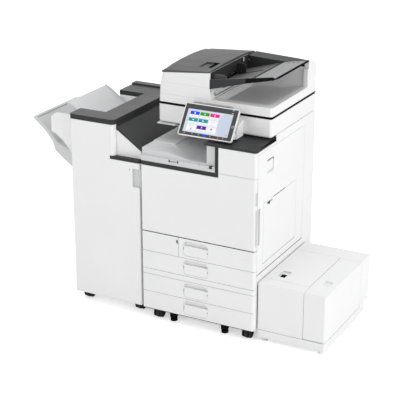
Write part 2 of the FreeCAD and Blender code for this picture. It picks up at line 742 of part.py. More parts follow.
def toner_place(index):
    return S.toner_first + S.toner_pitch * index


def engine_cover():
    """Inner cover behind the front door: four bottle mouths and the two release bars."""
    face = S.engine_face
    piece = Piece("engine_cover")
    low, high = S.drawer_one_top + S.seam + S.sheet, S.bay_floor - S.sheet
    piece.pad("XZ", face, face + S.sheet, rectangle(WALL_IN, ENGINE_RIGHT, low, high))
    rings = [(toner_place(index), S.toner_height, S.toner_radius + S.play) for index in range(4)]
    piece.pocket("XZ", face, face + S.sheet, rings=rings)
    for left, right, base, top in ((40, 500, 0.06, 0.24), (40, 380, 0.34, 0.46), (420, 500, 0.34, 0.62)):
        span = high - low
        block = rectangle(left, right, low + span * base, low + span * top)
        piece.pad("XZ", face - 12, face, block)
    piece.done()


def toner_bottles():
    """Four bottles lying front to back, each with a stepped cap and a pull bar."""
    bottles = []
    for index in range(4):
        bottle = Piece("toner_bottle_%d" % (index + 1))
        r, length = S.toner_radius, S.toner_length
        bottle.revolve([(0, 0), (r - 5, 0), (r, 6), (r, length), (0, length)])
        bottle.pad("XZ", -3, 3, rectangle(-(r - 8), r - 8, -5, 0))
        body = bottle.part()
        body.Placement = FreeCAD.Placement(VECTOR(), FreeCAD.Rotation(VECTOR(1, 0, 0), -90))
        bind(body, "Placement.Base.x", toner_place(index))
        bind(body, "Placement.Base.y", S.toner_front)
        bind(body, "Placement.Base.z", S.toner_height)
        bottles.append(body)
    finish(group("toner_bottles", bottles), "toner_bottles")


# ---------------------------------------------------------------- paper exit

def inner_tray():
    """Sculpted exit tray: raised plateau at the left, low landing at the right, wall and upper ledge."""
    left, back = COVER_IN - 1, S.bridge_back
    floor = S.bay_floor
    wall = S.exit_wall
    right = S.pillar_left + 2

    def surface(drop, inset):
        return [(left + inset, S.tray_rim - drop), (left + 10, S.tray_rim - drop),
                (left + 22, S.plateau - drop), (S.plateau_end, S.plateau - drop),
                (S.low_start, S.low_level - drop), (right, S.low_level - drop)]

    tray = Piece("inner_tray_dish")
    front = S.lip_front + S.lip_depth
    tray.pad("XZ", front, back, surface(0, 0) + [(right, floor), (left, floor)])
    tray.corner("XZ", 60, S.plateau_end, S.plateau)
    tray.corner("XZ", 60, S.low_start, S.low_level)
    hollow = surface(wall, wall) + [(right, floor), (left + wall, floor)]
    tray.pocket("XZ", front + wall, back - wall, hollow)
    tray.pad("XZ", S.lip_front, front, rectangle(left, S.trim_right - S.trim_width - 1, floor, S.lip_top))
    for notch in (as_size(150), S.pillar_left + 12):
        clip = rectangle(notch, notch + 34, S.lip_top - 12, S.lip_top - 8)
        tray.pocket("XZ", S.lip_front, S.lip_front + 3, clip)
    pillar = Piece("exit_pillar")
    pillar_right = S.trim_right - S.trim_width - 1
    top = S.shelf_front - S.shelf_thick
    base = S.lip_top + 1
    pillar.pad("XZ", front, back, rectangle(right, pillar_right, base, top))
    hollow = rectangle(right + wall, pillar_right - wall, front + wall, back - wall)
    pillar.pocket("XY", base, top - wall, hollow)
    foot = box("exit_pillar_foot", (right, pillar_right), (front, back), (floor, base))
    ledge = Piece("exit_upper_ledge")
    end = S.shelf_left - S.play
    outline = [(left + 4, S.upper_ledge + 14), (left + 10, S.upper_ledge), (end, S.upper_ledge - 8),
               (end, S.upper_ledge - 3), (left + 12, S.upper_ledge + 5), (left + 8, S.upper_ledge + 16)]
    ledge.pad("XZ", S.glass_front, back, outline)
    members = [tray.part(), pillar.part(), foot, ledge.part()]
    finish(group("inner_tray", members), "inner_tray")


def exit_trim():
    """Dark frame round the paper exit: strip over the door, upright at its right end, and the shelf."""
    half = S.seam / 2
    strip_low, strip_high = S.door_top + half, S.bay_floor
    lip_back = S.lip_front
    strip = Piece("trim_strip")
    strip.pad("XZ", 0, S.skin, rectangle(half, S.trim_right - half, strip_low, strip_high))
    strip.corner("XY", S.left_corner, half, 0)
    brow = box("trim_brow", (half, S.trim_right - half), (0, lip_back),
               (strip_high, S.door_top + S.trim_height))
    post = box("trim_post", (S.trim_right - S.trim_width, S.trim_right - half), (0, S.skin),
               (S.door_top + S.trim_height, S.shelf_front - S.shelf_thick))
    shelf = Piece("trim_shelf")
    low = S.shelf_front - S.shelf_thick
    edge = S.shelf_front + S.shelf_rise
    shelf.pad("YZ", S.shelf_left, S.main_width,
              [(0, low), (0, S.shelf_front), (S.shelf_depth, edge), (S.shelf_depth, low)])
    shelf.corner("XY", S.main_corner, S.main_width, 0)
    carrier = box("trim_carrier", (WALL_IN + 8, S.trim_right - 20), (S.skin, S.frame_front),
                  (strip_low, strip_high - S.sheet))
    finish(group("exit_trim", [strip.part(), brow, post, shelf.part(), carrier]), "exit_trim")


# ---------------------------------------------------------------- scanner

HINGE_Y = S.main_depth + S.hinge_reach
HINGE_Z = S.feed_bottom - 2


def scanner_body():
    """Scanner housing with a glazed well, two carriage rods and the lower hinge leaves at the back."""
    back = S.main_depth - S.sheet
    right = S.main_width
    piece = Piece("scanner_body")
    piece.pad("XY", S.scan_bottom, S.scan_top, rectangle(S.scan_left, right, S.scan_front, back))
    for side in (S.scan_left, right):
        piece.corner("XY", S.scan_corner, side, S.scan_front)
    floor = S.scan_bottom.value

    def under_front(edge, point):
        flat = all(abs(vertex.Z - floor) < 0.01 for vertex in edge.Vertexes) and abs(point.z - floor) < 0.01
        return flat and point.y < S.scan_front.value + S.scan_corner.value

    piece.round(S.scan_under_round * 0.6, under_front)
    glass_right = S.glass_left + S.glass_wide
    glass_back = S.glass_front + S.glass_deep
    ledge = S.glass_ledge
    seat = rectangle(S.glass_left, glass_right, S.glass_front, glass_back)
    piece.pocket("XY", S.scan_top - S.glass_thick, S.scan_top, seat)
    well = rectangle(S.glass_left + ledge, glass_right - ledge, S.glass_front + ledge, glass_back - ledge)
    piece.pocket("XY", S.well_floor, S.scan_top - S.glass_thick, well)
    for share in (0.2, 0.8):
        guide = (S.glass_front + S.glass_deep * share, S.rod_height, S.rod_radius)
        piece.pad("YZ", S.glass_left + ledge, glass_right - ledge, rings=[guide])
    root = [(back, HINGE_Z - 45), (back, HINGE_Z - 6), (HINGE_Y - 5, HINGE_Z + 3),
            (HINGE_Y + 5, HINGE_Z - 4)]
    for first in hinge_starts():
        second = first + S.lug_thick + S.knuckle_wide
        for start in (first, second):
            piece.pad("YZ", start, start + S.lug_thick, root)
            piece.pad("YZ", start, start + S.lug_thick, rings=[(HINGE_Y, HINGE_Z, S.hinge_radius)])
        piece.pad("YZ", first, second + S.lug_thick, rings=[(HINGE_Y, HINGE_Z, S.hinge_pin)])
    piece.done()


def hinge_starts():
    """Left end of each of the feeder's two hinges."""
    return S.hinge_inset, S.main_width - S.hinge_inset - 2 * S.lug_thick - S.knuckle_wide


def platen_glass():
    """Glass plate in its seat, flush with the scanner's top."""
    play = S.play
    block = box("platen_glass_plate",
                (S.glass_left + play, S.glass_left + S.glass_wide - play),
                (S.glass_front + play, S.glass_front + S.glass_deep - play),
                (S.scan_top - S.glass_thick, S.scan_top))
    finish(group("platen_glass", [block]), "platen_glass")


def scan_carriage():
    """Lamp carriage that rides on the two rods under the glass."""
    left = S.glass_left + S.glass_ledge + 6
    front = S.glass_front + S.glass_ledge + 4
    back = S.glass_front + S.glass_deep - S.glass_ledge - 4
    top = S.scan_top - S.glass_thick - 4
    piece = Piece("scan_carriage")
    piece.pad("XZ", front, back, [(left, S.rod_height - 12), (left + S.carriage_wide, S.rod_height - 12),
                                  (left + S.carriage_wide, top - 14), (left + S.carriage_wide * 0.6, top),
                                  (left, top)])
    piece.pocket("XZ", front + 8, back - 8, rectangle(left + 6, left + S.carriage_wide * 0.5, top - 8, top))
    for share in (0.2, 0.8):
        depth = S.glass_front + S.glass_deep * share
        reach = S.rod_radius + S.play
        channel = rectangle(depth - reach, depth + reach, S.rod_height - 12, S.rod_height + reach)
        piece.pocket("YZ", left, left + S.carriage_wide, channel)
    piece.done()


# ---------------------------------------------------------------- control panel

def leaned(along, out):
    """A point of the panel's side view: along the panel from its lower edge, and out behind its face."""
    lean, rise = sine(S.panel_tilt), cosine(S.panel_tilt)
    return S.panel_front + along * lean + out * rise, S.panel_low + along * rise - out * lean


def panel_side(first, last, face, rear):
    """Side view of a slab of the panel between two stations and two depths."""
    return [leaned(first, face), leaned(last, face), leaned(last, rear), leaned(first, rear)]


def panel_arm():
    """Bracket on the scanner's front that carries the panel's pivot barrel and its two pins."""
    left, right = S.arm_left, S.arm_left + S.arm_width
    y, z, r = S.pivot_depth, S.pivot_height, S.pivot_radius
    piece = Piece("panel_arm")
    block_front = y + r + 8
    base = S.shelf_front + S.shelf_rise + S.play
    piece.pad("YZ", left, right, [(block_front, base), (S.scan_front, base), (S.scan_front, S.arm_top),
                                  (block_front + 14, S.arm_top - 17), (block_front, z + r)])
    inner = (left + S.lug_width + S.play, right - S.lug_width - S.play)
    piece.pad("YZ", *inner, [(y, z - r), (block_front, z - r), (block_front, z + r), (y, z + r)])
    piece.pad("YZ", *inner, rings=[(y, z, r)])
    piece.pad("YZ", left + 2, right - 2, rings=[(y, z, S.pivot_pin)])
    piece.done()


def panel_shell():
    """Back shell of the control panel with the pocket for its screen and two pivot lugs."""
    left, right = S.panel_left, S.panel_left + S.panel_wide
    thick, high = S.panel_thick, S.panel_high
    zero = as_size(0)
    piece = Piece("panel_shell")
    piece.pad("YZ", left, right, panel_side(zero, high, zero, thick))

    def across(edge, point):
        ends = [vertex.Point for vertex in edge.Vertexes]
        return abs(ends[0].x - ends[-1].x) < 0.01 and abs(edge.Length - thick.value) < 0.1 and \
            min(abs(point.x - left.value), abs(point.x - right.value)) < 0.01

    piece.round(S.panel_corner, across)
    heel = leaned(zero, thick)

    def lower_back(edge, point):
        level = abs(point.y - heel[0].value) < 0.05 and abs(point.z - heel[1].value) < 0.05
        return level and abs(edge.Vertexes[0].X - edge.Vertexes[-1].X) > 100

    piece.round(thick * 0.5, lower_back)
    rim = S.glass_rim
    piece.pocket("YZ", left + rim, right - rim, panel_side(rim, high - rim, as_size(-2), S.screen_inset + 2))
    for start in (S.arm_left, S.arm_left + S.arm_width - S.lug_width + S.play):
        end = start + S.lug_width - S.play
        y, z, r = S.pivot_depth, S.pivot_height, S.pivot_radius
        web = [leaned(high * 0.1, thick - 1), leaned(high * 0.37, thick - 1), (y + 5, z + r * 0.85),
               (y, z - r)]
        piece.pad("YZ", start, end, web)
        piece.pad("YZ", start, end, rings=[(y, z, r - S.play)])
        piece.pocket("YZ", start, end, rings=[(y, z, S.pivot_pin + S.pin_play)])
    piece.done()


def panel_screen():
    """Glass front of the control panel."""
    rim = S.glass_rim + S.play
    piece = Piece("panel_screen")
    side = panel_side(rim, S.panel_high - rim, as_size(0.4), S.screen_inset + 2)
    piece.pad("YZ", S.panel_left + rim, S.panel_left + S.panel_wide - rim, side)
    piece.done()


# ---------------------------------------------------------------- document feeder

WELL_FRONT = S.scan_front + 22                       # roller well under the feeder's cover
WELL_BACK = S.tail_front - 12
LUG_THICK = as_size(5.6)                             # lug that carries the input tray's pin

def cover_axis_place():
    """Hinge line of the feeder's cover, as X and Z."""
    x = S.cover_left + S.cover_round
    return x, block_level(x) + S.play + S.cover_round


def cover_tabs():
    """Front ends of the tabs that carry the feeder's cover."""
    run = S.tail_front - S.scan_front
    return S.scan_front + run * 0.14, S.scan_front + run * 0.8


def tray_axis_place():
    """Hinge line of the input tray, as X and Z."""
    return S.block_right + S.tray_axis_in, S.tail_top + S.play + S.tray_barrel


def feeder_body():
    """White moulding of the feeder: roller well at the left, delivery dish at the right, tail behind."""
    left, right = S.feed_left, S.main_width
    front, back = S.scan_front, S.main_depth - S.sheet
    floor, deck = S.feed_bottom, S.deck_top
    piece = Piece("feeder_body")
    piece.pad("XZ", front, back, [
        (left, floor), (right, floor), (right, deck), (S.block_right + 8, deck),
        (S.block_right, S.slot_start - 8), (S.block_right, S.block_right_top),
        (left + S.block_lean, S.block_left_top), (left + 6, S.block_left_top - 54)])
    for side in (left, right):
        piece.round(S.scan_corner, upright_at(side, front))
    band = rectangle(left - 1, S.block_right + 1, S.tail_top, S.block_right_top + 1)
    piece.pocket("XZ", S.tail_front - S.play * 2, back, band)
    well = rectangle(S.cover_left + 14, S.block_right - 12, WELL_FRONT, WELL_BACK)
    piece.pocket("XY", deck - 10, S.block_right_top + 40, well)
    x, z = S.block_right - 44, S.slot_start
    bore = S.rod_radius + S.pin_play
    piece.pocket("XZ", WELL_FRONT - 8.5, WELL_BACK + 8.5, rings=[(x, z, bore)])
    for low in (S.slot_start + 2, deck + 6):
        mouth = rectangle(front + 40, S.tail_front - 44, low, low + 16)
        piece.pocket("YZ", S.block_right - 12, S.block_right + 9, mouth)
    piece.pad("XZ", S.tail_front, back, rectangle(S.block_right, right, deck, S.tail_top))
    piece.pad("XZ", S.tail_front, back, rectangle(S.post_left, right, S.tail_top, S.post_top))
    piece.pad("XZ", S.tail_front - 11, S.tail_front, rectangle(S.post_left, right, deck, S.post_top - 30))
    low = deck - S.dish_depth
    dish = [(S.dish_left, deck), (S.dish_left + 14, low), (S.dish_right - 110, low + 6), (S.dish_right, deck)]
    piece.pocket("XZ", S.dish_front, S.tail_front, dish)
    grip = rectangle(front - 14, front + 6, deck - 28, deck - 18)
    piece.pad("YZ", S.panel_left + 20, S.panel_left + S.panel_wide - 58, grip)
    x, z = cover_axis_place()
    for start in cover_tabs():
        end = start + S.tab_wide
        foot = block_level(x) - 1
        piece.pad("XZ", start, end, [(x - 3, foot), (x + 3, foot), (x + 3, z), (x - 3, z)])
        piece.pad("XZ", start, end, rings=[(x, z, S.tab_eye)])
        piece.pocket("XZ", start, end, rings=[(x, z, S.tab_pin + S.pin_play)])
    x, z = tray_axis_place()
    lug = rectangle(x - S.tray_barrel, x + S.tray_barrel, S.tail_top - 1, z + S.tray_barrel)
    piece.pad("XZ", back - LUG_THICK, back, lug)
    piece.pocket("XZ", back - LUG_THICK, back, rings=[(x, z, S.tray_pin + S.pin_play)])
    root = [(back, HINGE_Z + 4), (back, HINGE_Z + 34), (HINGE_Y + 3, HINGE_Z + 6), (HINGE_Y - 5, HINGE_Z + 3)]
    for first in hinge_starts():
        start = first + S.lug_thick + S.play
        end = first + S.lug_thick + S.knuckle_wide - S.play
        piece.pad("YZ", start, end, root)
        piece.pad("YZ", start, end, rings=[(HINGE_Y, HINGE_Z, S.hinge_radius)])
        piece.pocket("YZ", start, end, rings=[(HINGE_Y, HINGE_Z, S.hinge_pin + S.pin_play)])
    piece.done()


def upright_at(x, y):
    """Test for the leaning or upright edges that rise from one corner of a plan."""
    def rises(edge, point):
        ends = [vertex.Point for vertex in edge.Vertexes]
        near = all(abs(end.y - y.value) < 0.01 and abs(end.x - x.value) < 20 for end in ends)
        return near and abs(ends[0].z - ends[-1].z) > 20
    return rises


def pressure_plate():
    """White sheet under the feeder that holds the original on the glass."""
    block = box("pressure_plate_pad", (S.glass_left - 24, S.glass_left + S.glass_wide + 20),
                (S.glass_front - 14, S.glass_front + S.glass_deep + 30),
                (S.scan_top + S.play * 2, S.feed_bottom))
    finish(group("pressure_plate", [block]), "pressure_plate")


def block_level(x):
    """Height of the feeder block's sloping top at a distance from the left."""
    start = S.feed_left + S.block_lean
    rise = (S.block_right_top - S.block_left_top) / (S.block_right - start)
    return S.block_left_top + (x - start) * rise


def crown(x, height):
    """Side view of the feeder's cover at one station: flat below, with a crowned top of the given height."""
    low = block_level(x) + S.play
    front, back = S.scan_front, S.tail_front
    shares = ((0.0, 0.42), (0.18, 0.76), (0.4, 0.94), (0.66, 1.0), (0.86, 0.88), (1.0, 0.72))
    top = [(front + (back - front) * along, low + height * share) for along, share in reversed(shares)]
    return [(front, low), (back, low)] + top


def feeder_cover():
    """Dark crowned lid over the feed rollers, hinged at its rolled left edge, with a finger recess."""
    front = S.scan_front
    left, right = S.cover_left, S.cover_right
    piece = Piece("feeder_cover")
    edge = left + S.crown_edge
    piece.loft("YZ", [(left, crown(left, S.crown_left * 0.55)), (edge, crown(edge, S.crown_left)),
                      (right, crown(right, S.crown_right))])
    x, z = cover_axis_place()
    piece.pocket("XZ", front, S.tail_front, outside_heel(x, z, S.cover_round))
    recess = rectangle(right - 86, right - 18, front + 62, front + 148)
    level = block_level(right - 58) + S.play + S.cover_round + 2
    piece.pocket("XY", level, level + 20, recess)
    reach = S.tab_eye + S.play * 2
    gap = rectangle(left - 1, x + reach, block_level(left) - 1, z + reach)
    pin_gaps(piece, "XZ", cover_tabs(), gap, x, z)
    piece.done()


def slot_level(x):
    """Height of the input tray's paper surface at a distance from the left."""
    rise = (S.slot_joint - S.slot_start) / (S.joint_at - S.block_right)
    return S.slot_start + (x - S.block_right) * rise


def input_tray():
    """Sloped document tray with front and rear walls, the seam of its outer half and the hinged back rim."""
    front, back = S.scan_front, S.tail_front - S.play
    left = S.block_right + S.play
    right = S.main_width
    thick = S.slot_floor
    piece = Piece("input_tray")
    top = [(left, slot_level(left)), (S.joint_at, S.slot_joint), (right, S.slot_end)]
    under = [(x, z - thick) for x, z in reversed(top)]
    piece.pad("XZ", front, back, top + under)
    wall = [(left, slot_level(left) - thick), (left, S.side_left_top), (S.joint_at, S.side_joint_top),
            (right - 20, S.slot_end + 6), (right, S.slot_end), (right, S.slot_end - thick),
            (S.joint_at, S.slot_joint - thick)]
    piece.pad("XZ", front, front + S.side_wall, wall)
    x, z = tray_axis_place()
    barrel = S.tray_barrel
    meet = S.joint_at + 24
    rear_wall = [(left, slot_level(left) - thick), (left, S.tail_top), (x - 1, S.tail_top),
                 (x - 1, S.rim_left_top), (meet, S.rim_right_top + 6), (meet, S.slot_joint - thick),
                 (S.joint_at, S.slot_joint - thick)]
    piece.pad("XZ", back - S.side_wall, back, rear_wall)
    joint = rectangle(S.joint_at + 4, S.joint_at + 6, S.slot_joint - 1.5, S.slot_joint + 30)
    piece.pocket("XZ", front - 1, back, joint)
    rim_floor = S.tail_top + S.play
    rim_right = S.post_left - S.post_gap
    rim_back = S.main_depth - S.sheet - LUG_THICK - S.play
    rim = [(x - barrel, z), (x, rim_floor), (rim_right, rim_floor), (rim_right, S.rim_right_top),
           (rim_right - 60, S.rim_right_top + 5), (x - barrel, S.rim_left_top)]
    piece.pad("XZ", back, rim_back, rim)
    piece.pad("XZ", back, rim_back, rings=[(x, z, barrel)])
    piece.pad("XZ", rim_back - 2, rim_back + LUG_THICK, rings=[(x, z, S.tray_pin)])
    piece.corner("XY", 16, rim_right, rim_back)
    piece.pocket("XY", S.slot_joint - thick - 4, S.slot_end + 10, outside_corner(right, front, S.tray_corner))
    piece.done()


def outside_corner(x, y, radius):
    """Plan of what lies outside a rounded right front corner."""
    across, along = x - radius, y + radius
    turns = [Size(angle, "%d deg" % angle) for angle in (0, 15, 30, 45, 60, 75, 90)]
    arc = [(across + cosine(turn) * radius, along - sine(turn) * radius) for turn in turns]
    return arc + [(across, y - 1), (x + 1, y - 1), (x + 1, along)]


def outside_heel(x, z, radius):
    """Front view of what lies outside a lower left edge rounded about a hinge line."""
    turns = [Size(angle, "%d deg" % angle) for angle in (0, 18, 36, 54, 72, 90)]
    arc = [(x - cosine(turn) * radius, z - sine(turn) * radius) for turn in turns]
    return arc + [(x, z - radius * 2), (x - radius * 2, z - radius * 2), (x - radius * 2, z)]


def document_fences():
    """Two side guides that close on the originals from both sides."""
    start = S.fence_start
    end = start + S.fence_long
    thick = S.fence_thick
    level = S.play
    for label, at, turn in (("front_fence", S.fence_front_at, 1), ("rear_fence", S.fence_back_at, -1)):
        piece = Piece(label)
        low, high = (at, at + thick) if turn > 0 else (at - thick, at)
        foot_low, foot_high = (at, at + thick * 7) if turn > 0 else (at - thick * 7, at)
        wall = [(start, slot_level(start) + level), (end, slot_level(end) + level),
                (end - 10, slot_level(end) + S.fence_high), (start + 12, slot_level(start) + S.fence_high)]
        piece.pad("XZ", low, high, wall)
        foot = [(start, slot_level(start) + level), (end, slot_level(end) + level),
                (end, slot_level(end) + level + 2), (start, slot_level(start) + level + 2)]
        piece.pad("XZ", foot_low, foot_high, foot)
        piece.done()


def feed_roller():
    """Feed shaft with its two soft rolls, turning in the walls of the feeder's well."""
    front, back = WELL_FRONT, WELL_BACK
    x, z = S.block_right - 44, S.slot_start
    piece = Piece("feed_roller")
    piece.pad("XZ", front - 8, back + 8, rings=[(x, z, S.rod_radius)])
    for share in (0.3, 0.55):
        middle = front + (back - front) * share
        piece.pad("XZ", middle - 20, middle + 20, rings=[(x, z, S.roller_radius)])
    piece.done()


# ---------------------------------------------------------------- right side

def vents(piece, front, wide, deep):
    """A column of cooling slots in the right side."""
    vent = rectangle(front, front + wide, S.vent_low, S.vent_low + S.vent_high)
    piece.pocket("YZ", S.main_width - deep, S.main_width, vent)
    piece.repeat("Z", S.vent_pitch * (VENT_ROWS - 1), VENT_ROWS)


def right_door():
    """Tall hinged door on the right side, with the bypass recess, the pull pocket and a column of vents."""
    front, back = DUPLEX_FRONT, S.duplex_back
    low, high = S.duplex_low, S.duplex_high
    left, right = S.main_width - S.duplex_thick, S.main_width
    piece = Piece("right_door")
    piece.pad("XZ", front, back, rectangle(left, right, low, high))
    piece.corner("XZ", S.pivot_inset - 0.1, right, low)
    hollow = rectangle(front + 14, back - 14, low + 24, high - 14)
    piece.pocket("YZ", left, left + S.duplex_hollow, hollow)
    rib = rectangle(front + 14, front + 17, low + 24, high - 14)
    piece.pad("YZ", left + 1, left + S.duplex_hollow, rib)
    piece.repeat("Y", back - front - 31, 12)
    floor = right - S.bypass_thick - S.bypass_play
    seat = rectangle(S.bypass_front - S.seam, S.bypass_back + S.seam, S.bypass_low - S.bypass_play,
                     S.bypass_high + S.seam)
    piece.pocket("YZ", floor, right, seat)
    mouth = rectangle(S.bypass_front + 36, S.bypass_back - 36, S.bypass_low + 26, S.bypass_low + 36)
    piece.pocket("YZ", left, floor, mouth)
    half = S.bypass_thick / 2
    pin = S.bypass_pin + S.pin_play
    bore = (right - half, S.bypass_low + half, pin)
    piece.pocket("XZ", S.bypass_front - 6, S.bypass_back + 6, rings=[bore])
    pull_back = S.pull_front + S.pull_wide
    pull = rectangle(S.pull_front, pull_back, S.pull_low, S.pull_high)
    piece.pocket("YZ", right - S.pull_depth, right, pull)
    for y in (S.pull_front, pull_back):
        for z in (S.pull_low, S.pull_high):
            piece.corner("YZ", 4, y, z)
    bore = S.lever_pin + S.pin_play
    piece.pocket("XZ", S.pull_front - 4, pull_back + 4, rings=[lever_axis() + (bore,)])
    vents(piece, S.vent_second, S.vent_wide, S.vent_deep)
    reach = S.tab_eye + S.play * 2
    gap = rectangle(left, DUPLEX_X + reach, low, DUPLEX_Z + reach + 2)
    pin_gaps(piece, "XZ", right_door_tabs(), gap, DUPLEX_X, DUPLEX_Z)
    piece.done()


def lever_axis():
    """Pivot line of the right door's release lever, as X and Z."""
    return S.main_width - S.lever_round - 0.5, S.pull_high - S.lever_drop


def right_door_latch():
    """Release lever that hangs in the pull pocket."""
    x, z = lever_axis()
    half = S.lever_thick / 2
    front, back = S.latch_front, S.latch_front + S.latch_wide
    piece = Piece("right_door_latch")
    piece.pad("XZ", front, back, rectangle(x - half, x + half, z - 43, z))
    piece.pad("XZ", front, back, rings=[(x, z, S.lever_round)])
    piece.pad("XZ", front, back, rings=[(x - half + 1, z - 43, half + 1)])
    pull_back = S.pull_front + S.pull_wide
    piece.pad("XZ", S.pull_front - 3.5, pull_back + 3.5, rings=[(x, z, S.lever_pin)])
    piece.done()


def bypass_tray():
    """Manual feed tray folded into the right door, rolled at its hinged lower edge."""
    right = S.main_width
    left = right - S.bypass_thick
    half = S.bypass_thick / 2
    front, back = S.bypass_front, S.bypass_back
    low, high = S.bypass_low, S.bypass_high
    piece = Piece("bypass_tray")
    piece.pad("XZ", front, back, rectangle(left, right, low + half, high))
    piece.pad("XZ", front, back, rings=[(right - half, low + half, half)])
    piece.pocket("YZ", left, left + 6, rectangle(front + 14, back - 14, low + 40, high - 14))
    catch = rectangle(S.latch_front, S.latch_front + S.latch_wide, high - 14, high - 7)
    piece.pocket("YZ", right - 5, right, catch)
    piece.pocket("YZ", right - 3, right, rectangle(front + 110, front + 230, high - 2, high))
    piece.pad("XZ", front - 5, back + 5, rings=[(right - half, low + half, S.bypass_pin)])
    piece.done()


# ---------------------------------------------------------------- finisher

def finisher_housing():
    """Finisher cabinet: base, walls and ceiling plates, the white column and bridge, and the side guard."""
    left, right = -S.fin_left, -S.fin_gap
    front, back = S.fin_front, S.fin_back
    inside = front + S.fin_door_thick + S.seam
    roof, roof_top = S.fin_door_top + S.seam, S.fin_door_top + S.seam + S.sheet
    floor_top = S.fin_bottom - S.play
    floor = S.fin_bottom - S.sheet
    sheet = S.sheet
    members = []
    base = Piece("finisher_base")
    base.pad("XY", floor, floor_top, rectangle(left, right, front, back))
    hinge = (left + S.fin_hinge_round, front + S.fin_hinge_round, S.tab_pin + S.pin_play)
    base.pocket("XY", floor, floor_top, rings=[hinge])
    members.append(base.part())
    ceiling = ((left, -S.ledge_left - S.play), (inside, back), (roof, roof_top))
    wall = (left, left + sheet)
    slot_one = S.lower_front + S.lift_slot_in
    slot_two = S.lower_back - S.lift_slot_in - S.lift_slot_wide
    high = (floor_top, roof)
    plates = [
        (wall, (inside, slot_one), high),
        (wall, (slot_one + S.lift_slot_wide, slot_two), high),
        (wall, (slot_two + S.lift_slot_wide, back), high),
        ((right - sheet, right), (inside, back), high),
        ((left + sheet, right - sheet), (back - sheet, back), high),
        ((left + sheet, right - sheet), (inside + 34, inside + 34 + sheet), high),
    ]
    for slot in (slot_one, slot_two):
        plates.append((wall, (slot, slot + S.lift_slot_wide), (floor_top, S.lift_slot_low)))
        plates.append((wall, (slot, slot + S.lift_slot_wide), (S.lift_slot_high, roof)))
    stapler = ((left + 60, left + 190), (inside + 6, inside + 34), (420, 560))
    guide = ((left + 60, right - 50), (inside + 16, inside + 34), (600, 640))
    members += [box("finisher_plate", *limits) for limits in plates + [ceiling, stapler, guide]]
    members += column()
    members.append(bridge())
    guard = Piece("side_guard")
    out, top = -S.guard_out, S.guard_top
    guard.pad("XZ", S.guard_front, S.guard_front + S.guard_thick, [
        (left, top - 4), (left - 52, top), (out + 26, top - 2), (out, top - 21), (out, top - 95),
        (out + 25, top - 104), (out + 64, top - 134), (out + 101, top - 174), (left, top - 204)])
    members.append(guard.part())
    finish(group("finisher_housing", members), "finisher_housing")


def column():
    """The white upper housing, C-shaped in plan round the stacker: front arm, back arm and spine."""
    left, right = -S.fin_left, -S.column_right
    low, high = S.fin_door_top + S.seam + S.sheet, S.column_top
    inside = S.fin_front + S.fin_door_thick + S.seam
    spans = ((left, inside, S.arm_depth), (left, S.arm_back, S.fin_back),
             (-S.notch_right, S.arm_depth, S.arm_back))
    wall = S.sheet
    members = []
    for number, (start, front, back) in enumerate(spans):
        piece = Piece("finisher_column_%d" % (number + 1))
        piece.pad("XY", low, high, rectangle(start, right, front, back))
        piece.pocket("XY", low, high - wall, rectangle(start + wall, right - wall, front + wall, back - wall))
        ledge_top = S.fin_door_top + S.seam + S.ledge_thick + S.play
        piece.pocket("XZ", front, back, rectangle(-S.ledge_left - S.play, right, low, ledge_top))
        members.append(piece.part())
    return members


def bridge():
    """White wedge that carries the paper path from the main unit into the column."""
    base = S.fin_door_top + S.seam + S.ledge_thick
    left, right = -S.column_right, -S.fin_gap - 2
    front, back = S.bridge_front, S.bridge_back - 15
    wall = S.sheet
    piece = Piece("finisher_bridge")
    piece.pad("XZ", front, back, [(left, base), (right, base), (right, S.bridge_low), (left, S.bridge_high)])
    piece.pocket("XZ", front + wall, back - wall, [
        (left + wall, base), (right - wall, base), (right - wall, S.bridge_low - wall),
        (left + wall, S.bridge_high - wall * 2)])
    return piece.part()


def finisher_top_cover():
    """Dark cap on the column, with a raised ridge at the back."""
    left, right = -S.fin_left, -S.column_right
    low, high = S.column_top, S.cap_top
    front_arm = Piece("cap_front")
    front_arm.pad("XY", low, high, rectangle(left, right, S.fin_front, S.arm_depth))
    front_arm.corner("XY", S.cap_corner, right, S.fin_front)
    front_arm.corner("XY", S.fin_hinge_round, left, S.fin_front)
    half = S.fin_hinge_round
    bore = (left + half, S.fin_front + half, S.tab_pin + S.pin_play)
    front_arm.pocket("XY", low, low + S.sheet, rings=[bore])
    spine = box("cap_spine", (-S.notch_right, right), (S.arm_depth, S.arm_back), (low, high))
    back_arm = box("cap_back", (left, right), (S.arm_back, S.fin_back), (low, high))
    ridge = box("cap_ridge", (left, right), (S.ridge_front, S.fin_back), (high, high + S.ridge_high))
    finish(group("finisher_top_cover", [front_arm.part(), spine, back_arm, ridge]), "finisher_top_cover")


def bridge_cover():
    """Black ledge between the finisher's column and the main unit, and the sloping plate over the bridge."""
    low = S.fin_door_top + S.seam
    ledge = Piece("bridge_ledge")
    right = -S.fin_gap
    ledge.pad("XY", low, low + S.ledge_thick, rectangle(-S.ledge_left, right, S.fin_front, S.fin_back))
    ledge.corner("XY", S.scan_corner, right, S.fin_front)
    plate = Piece("bridge_plate")
    left, right = -S.column_right, right - 2
    thick = S.plate_thick
    plate.pad("XZ", S.bridge_front - 2, S.bridge_back, [
        (left, S.bridge_high), (right, S.bridge_low), (right, S.bridge_low + thick),
        (left + 8, S.bridge_high + thick),
        (left + S.sheet, S.bridge_high + thick + 4), (left + S.sheet, S.column_top), (left, S.column_top)])
    finish(group("bridge_cover", [ledge.part(), plate.part()]), "bridge_cover")


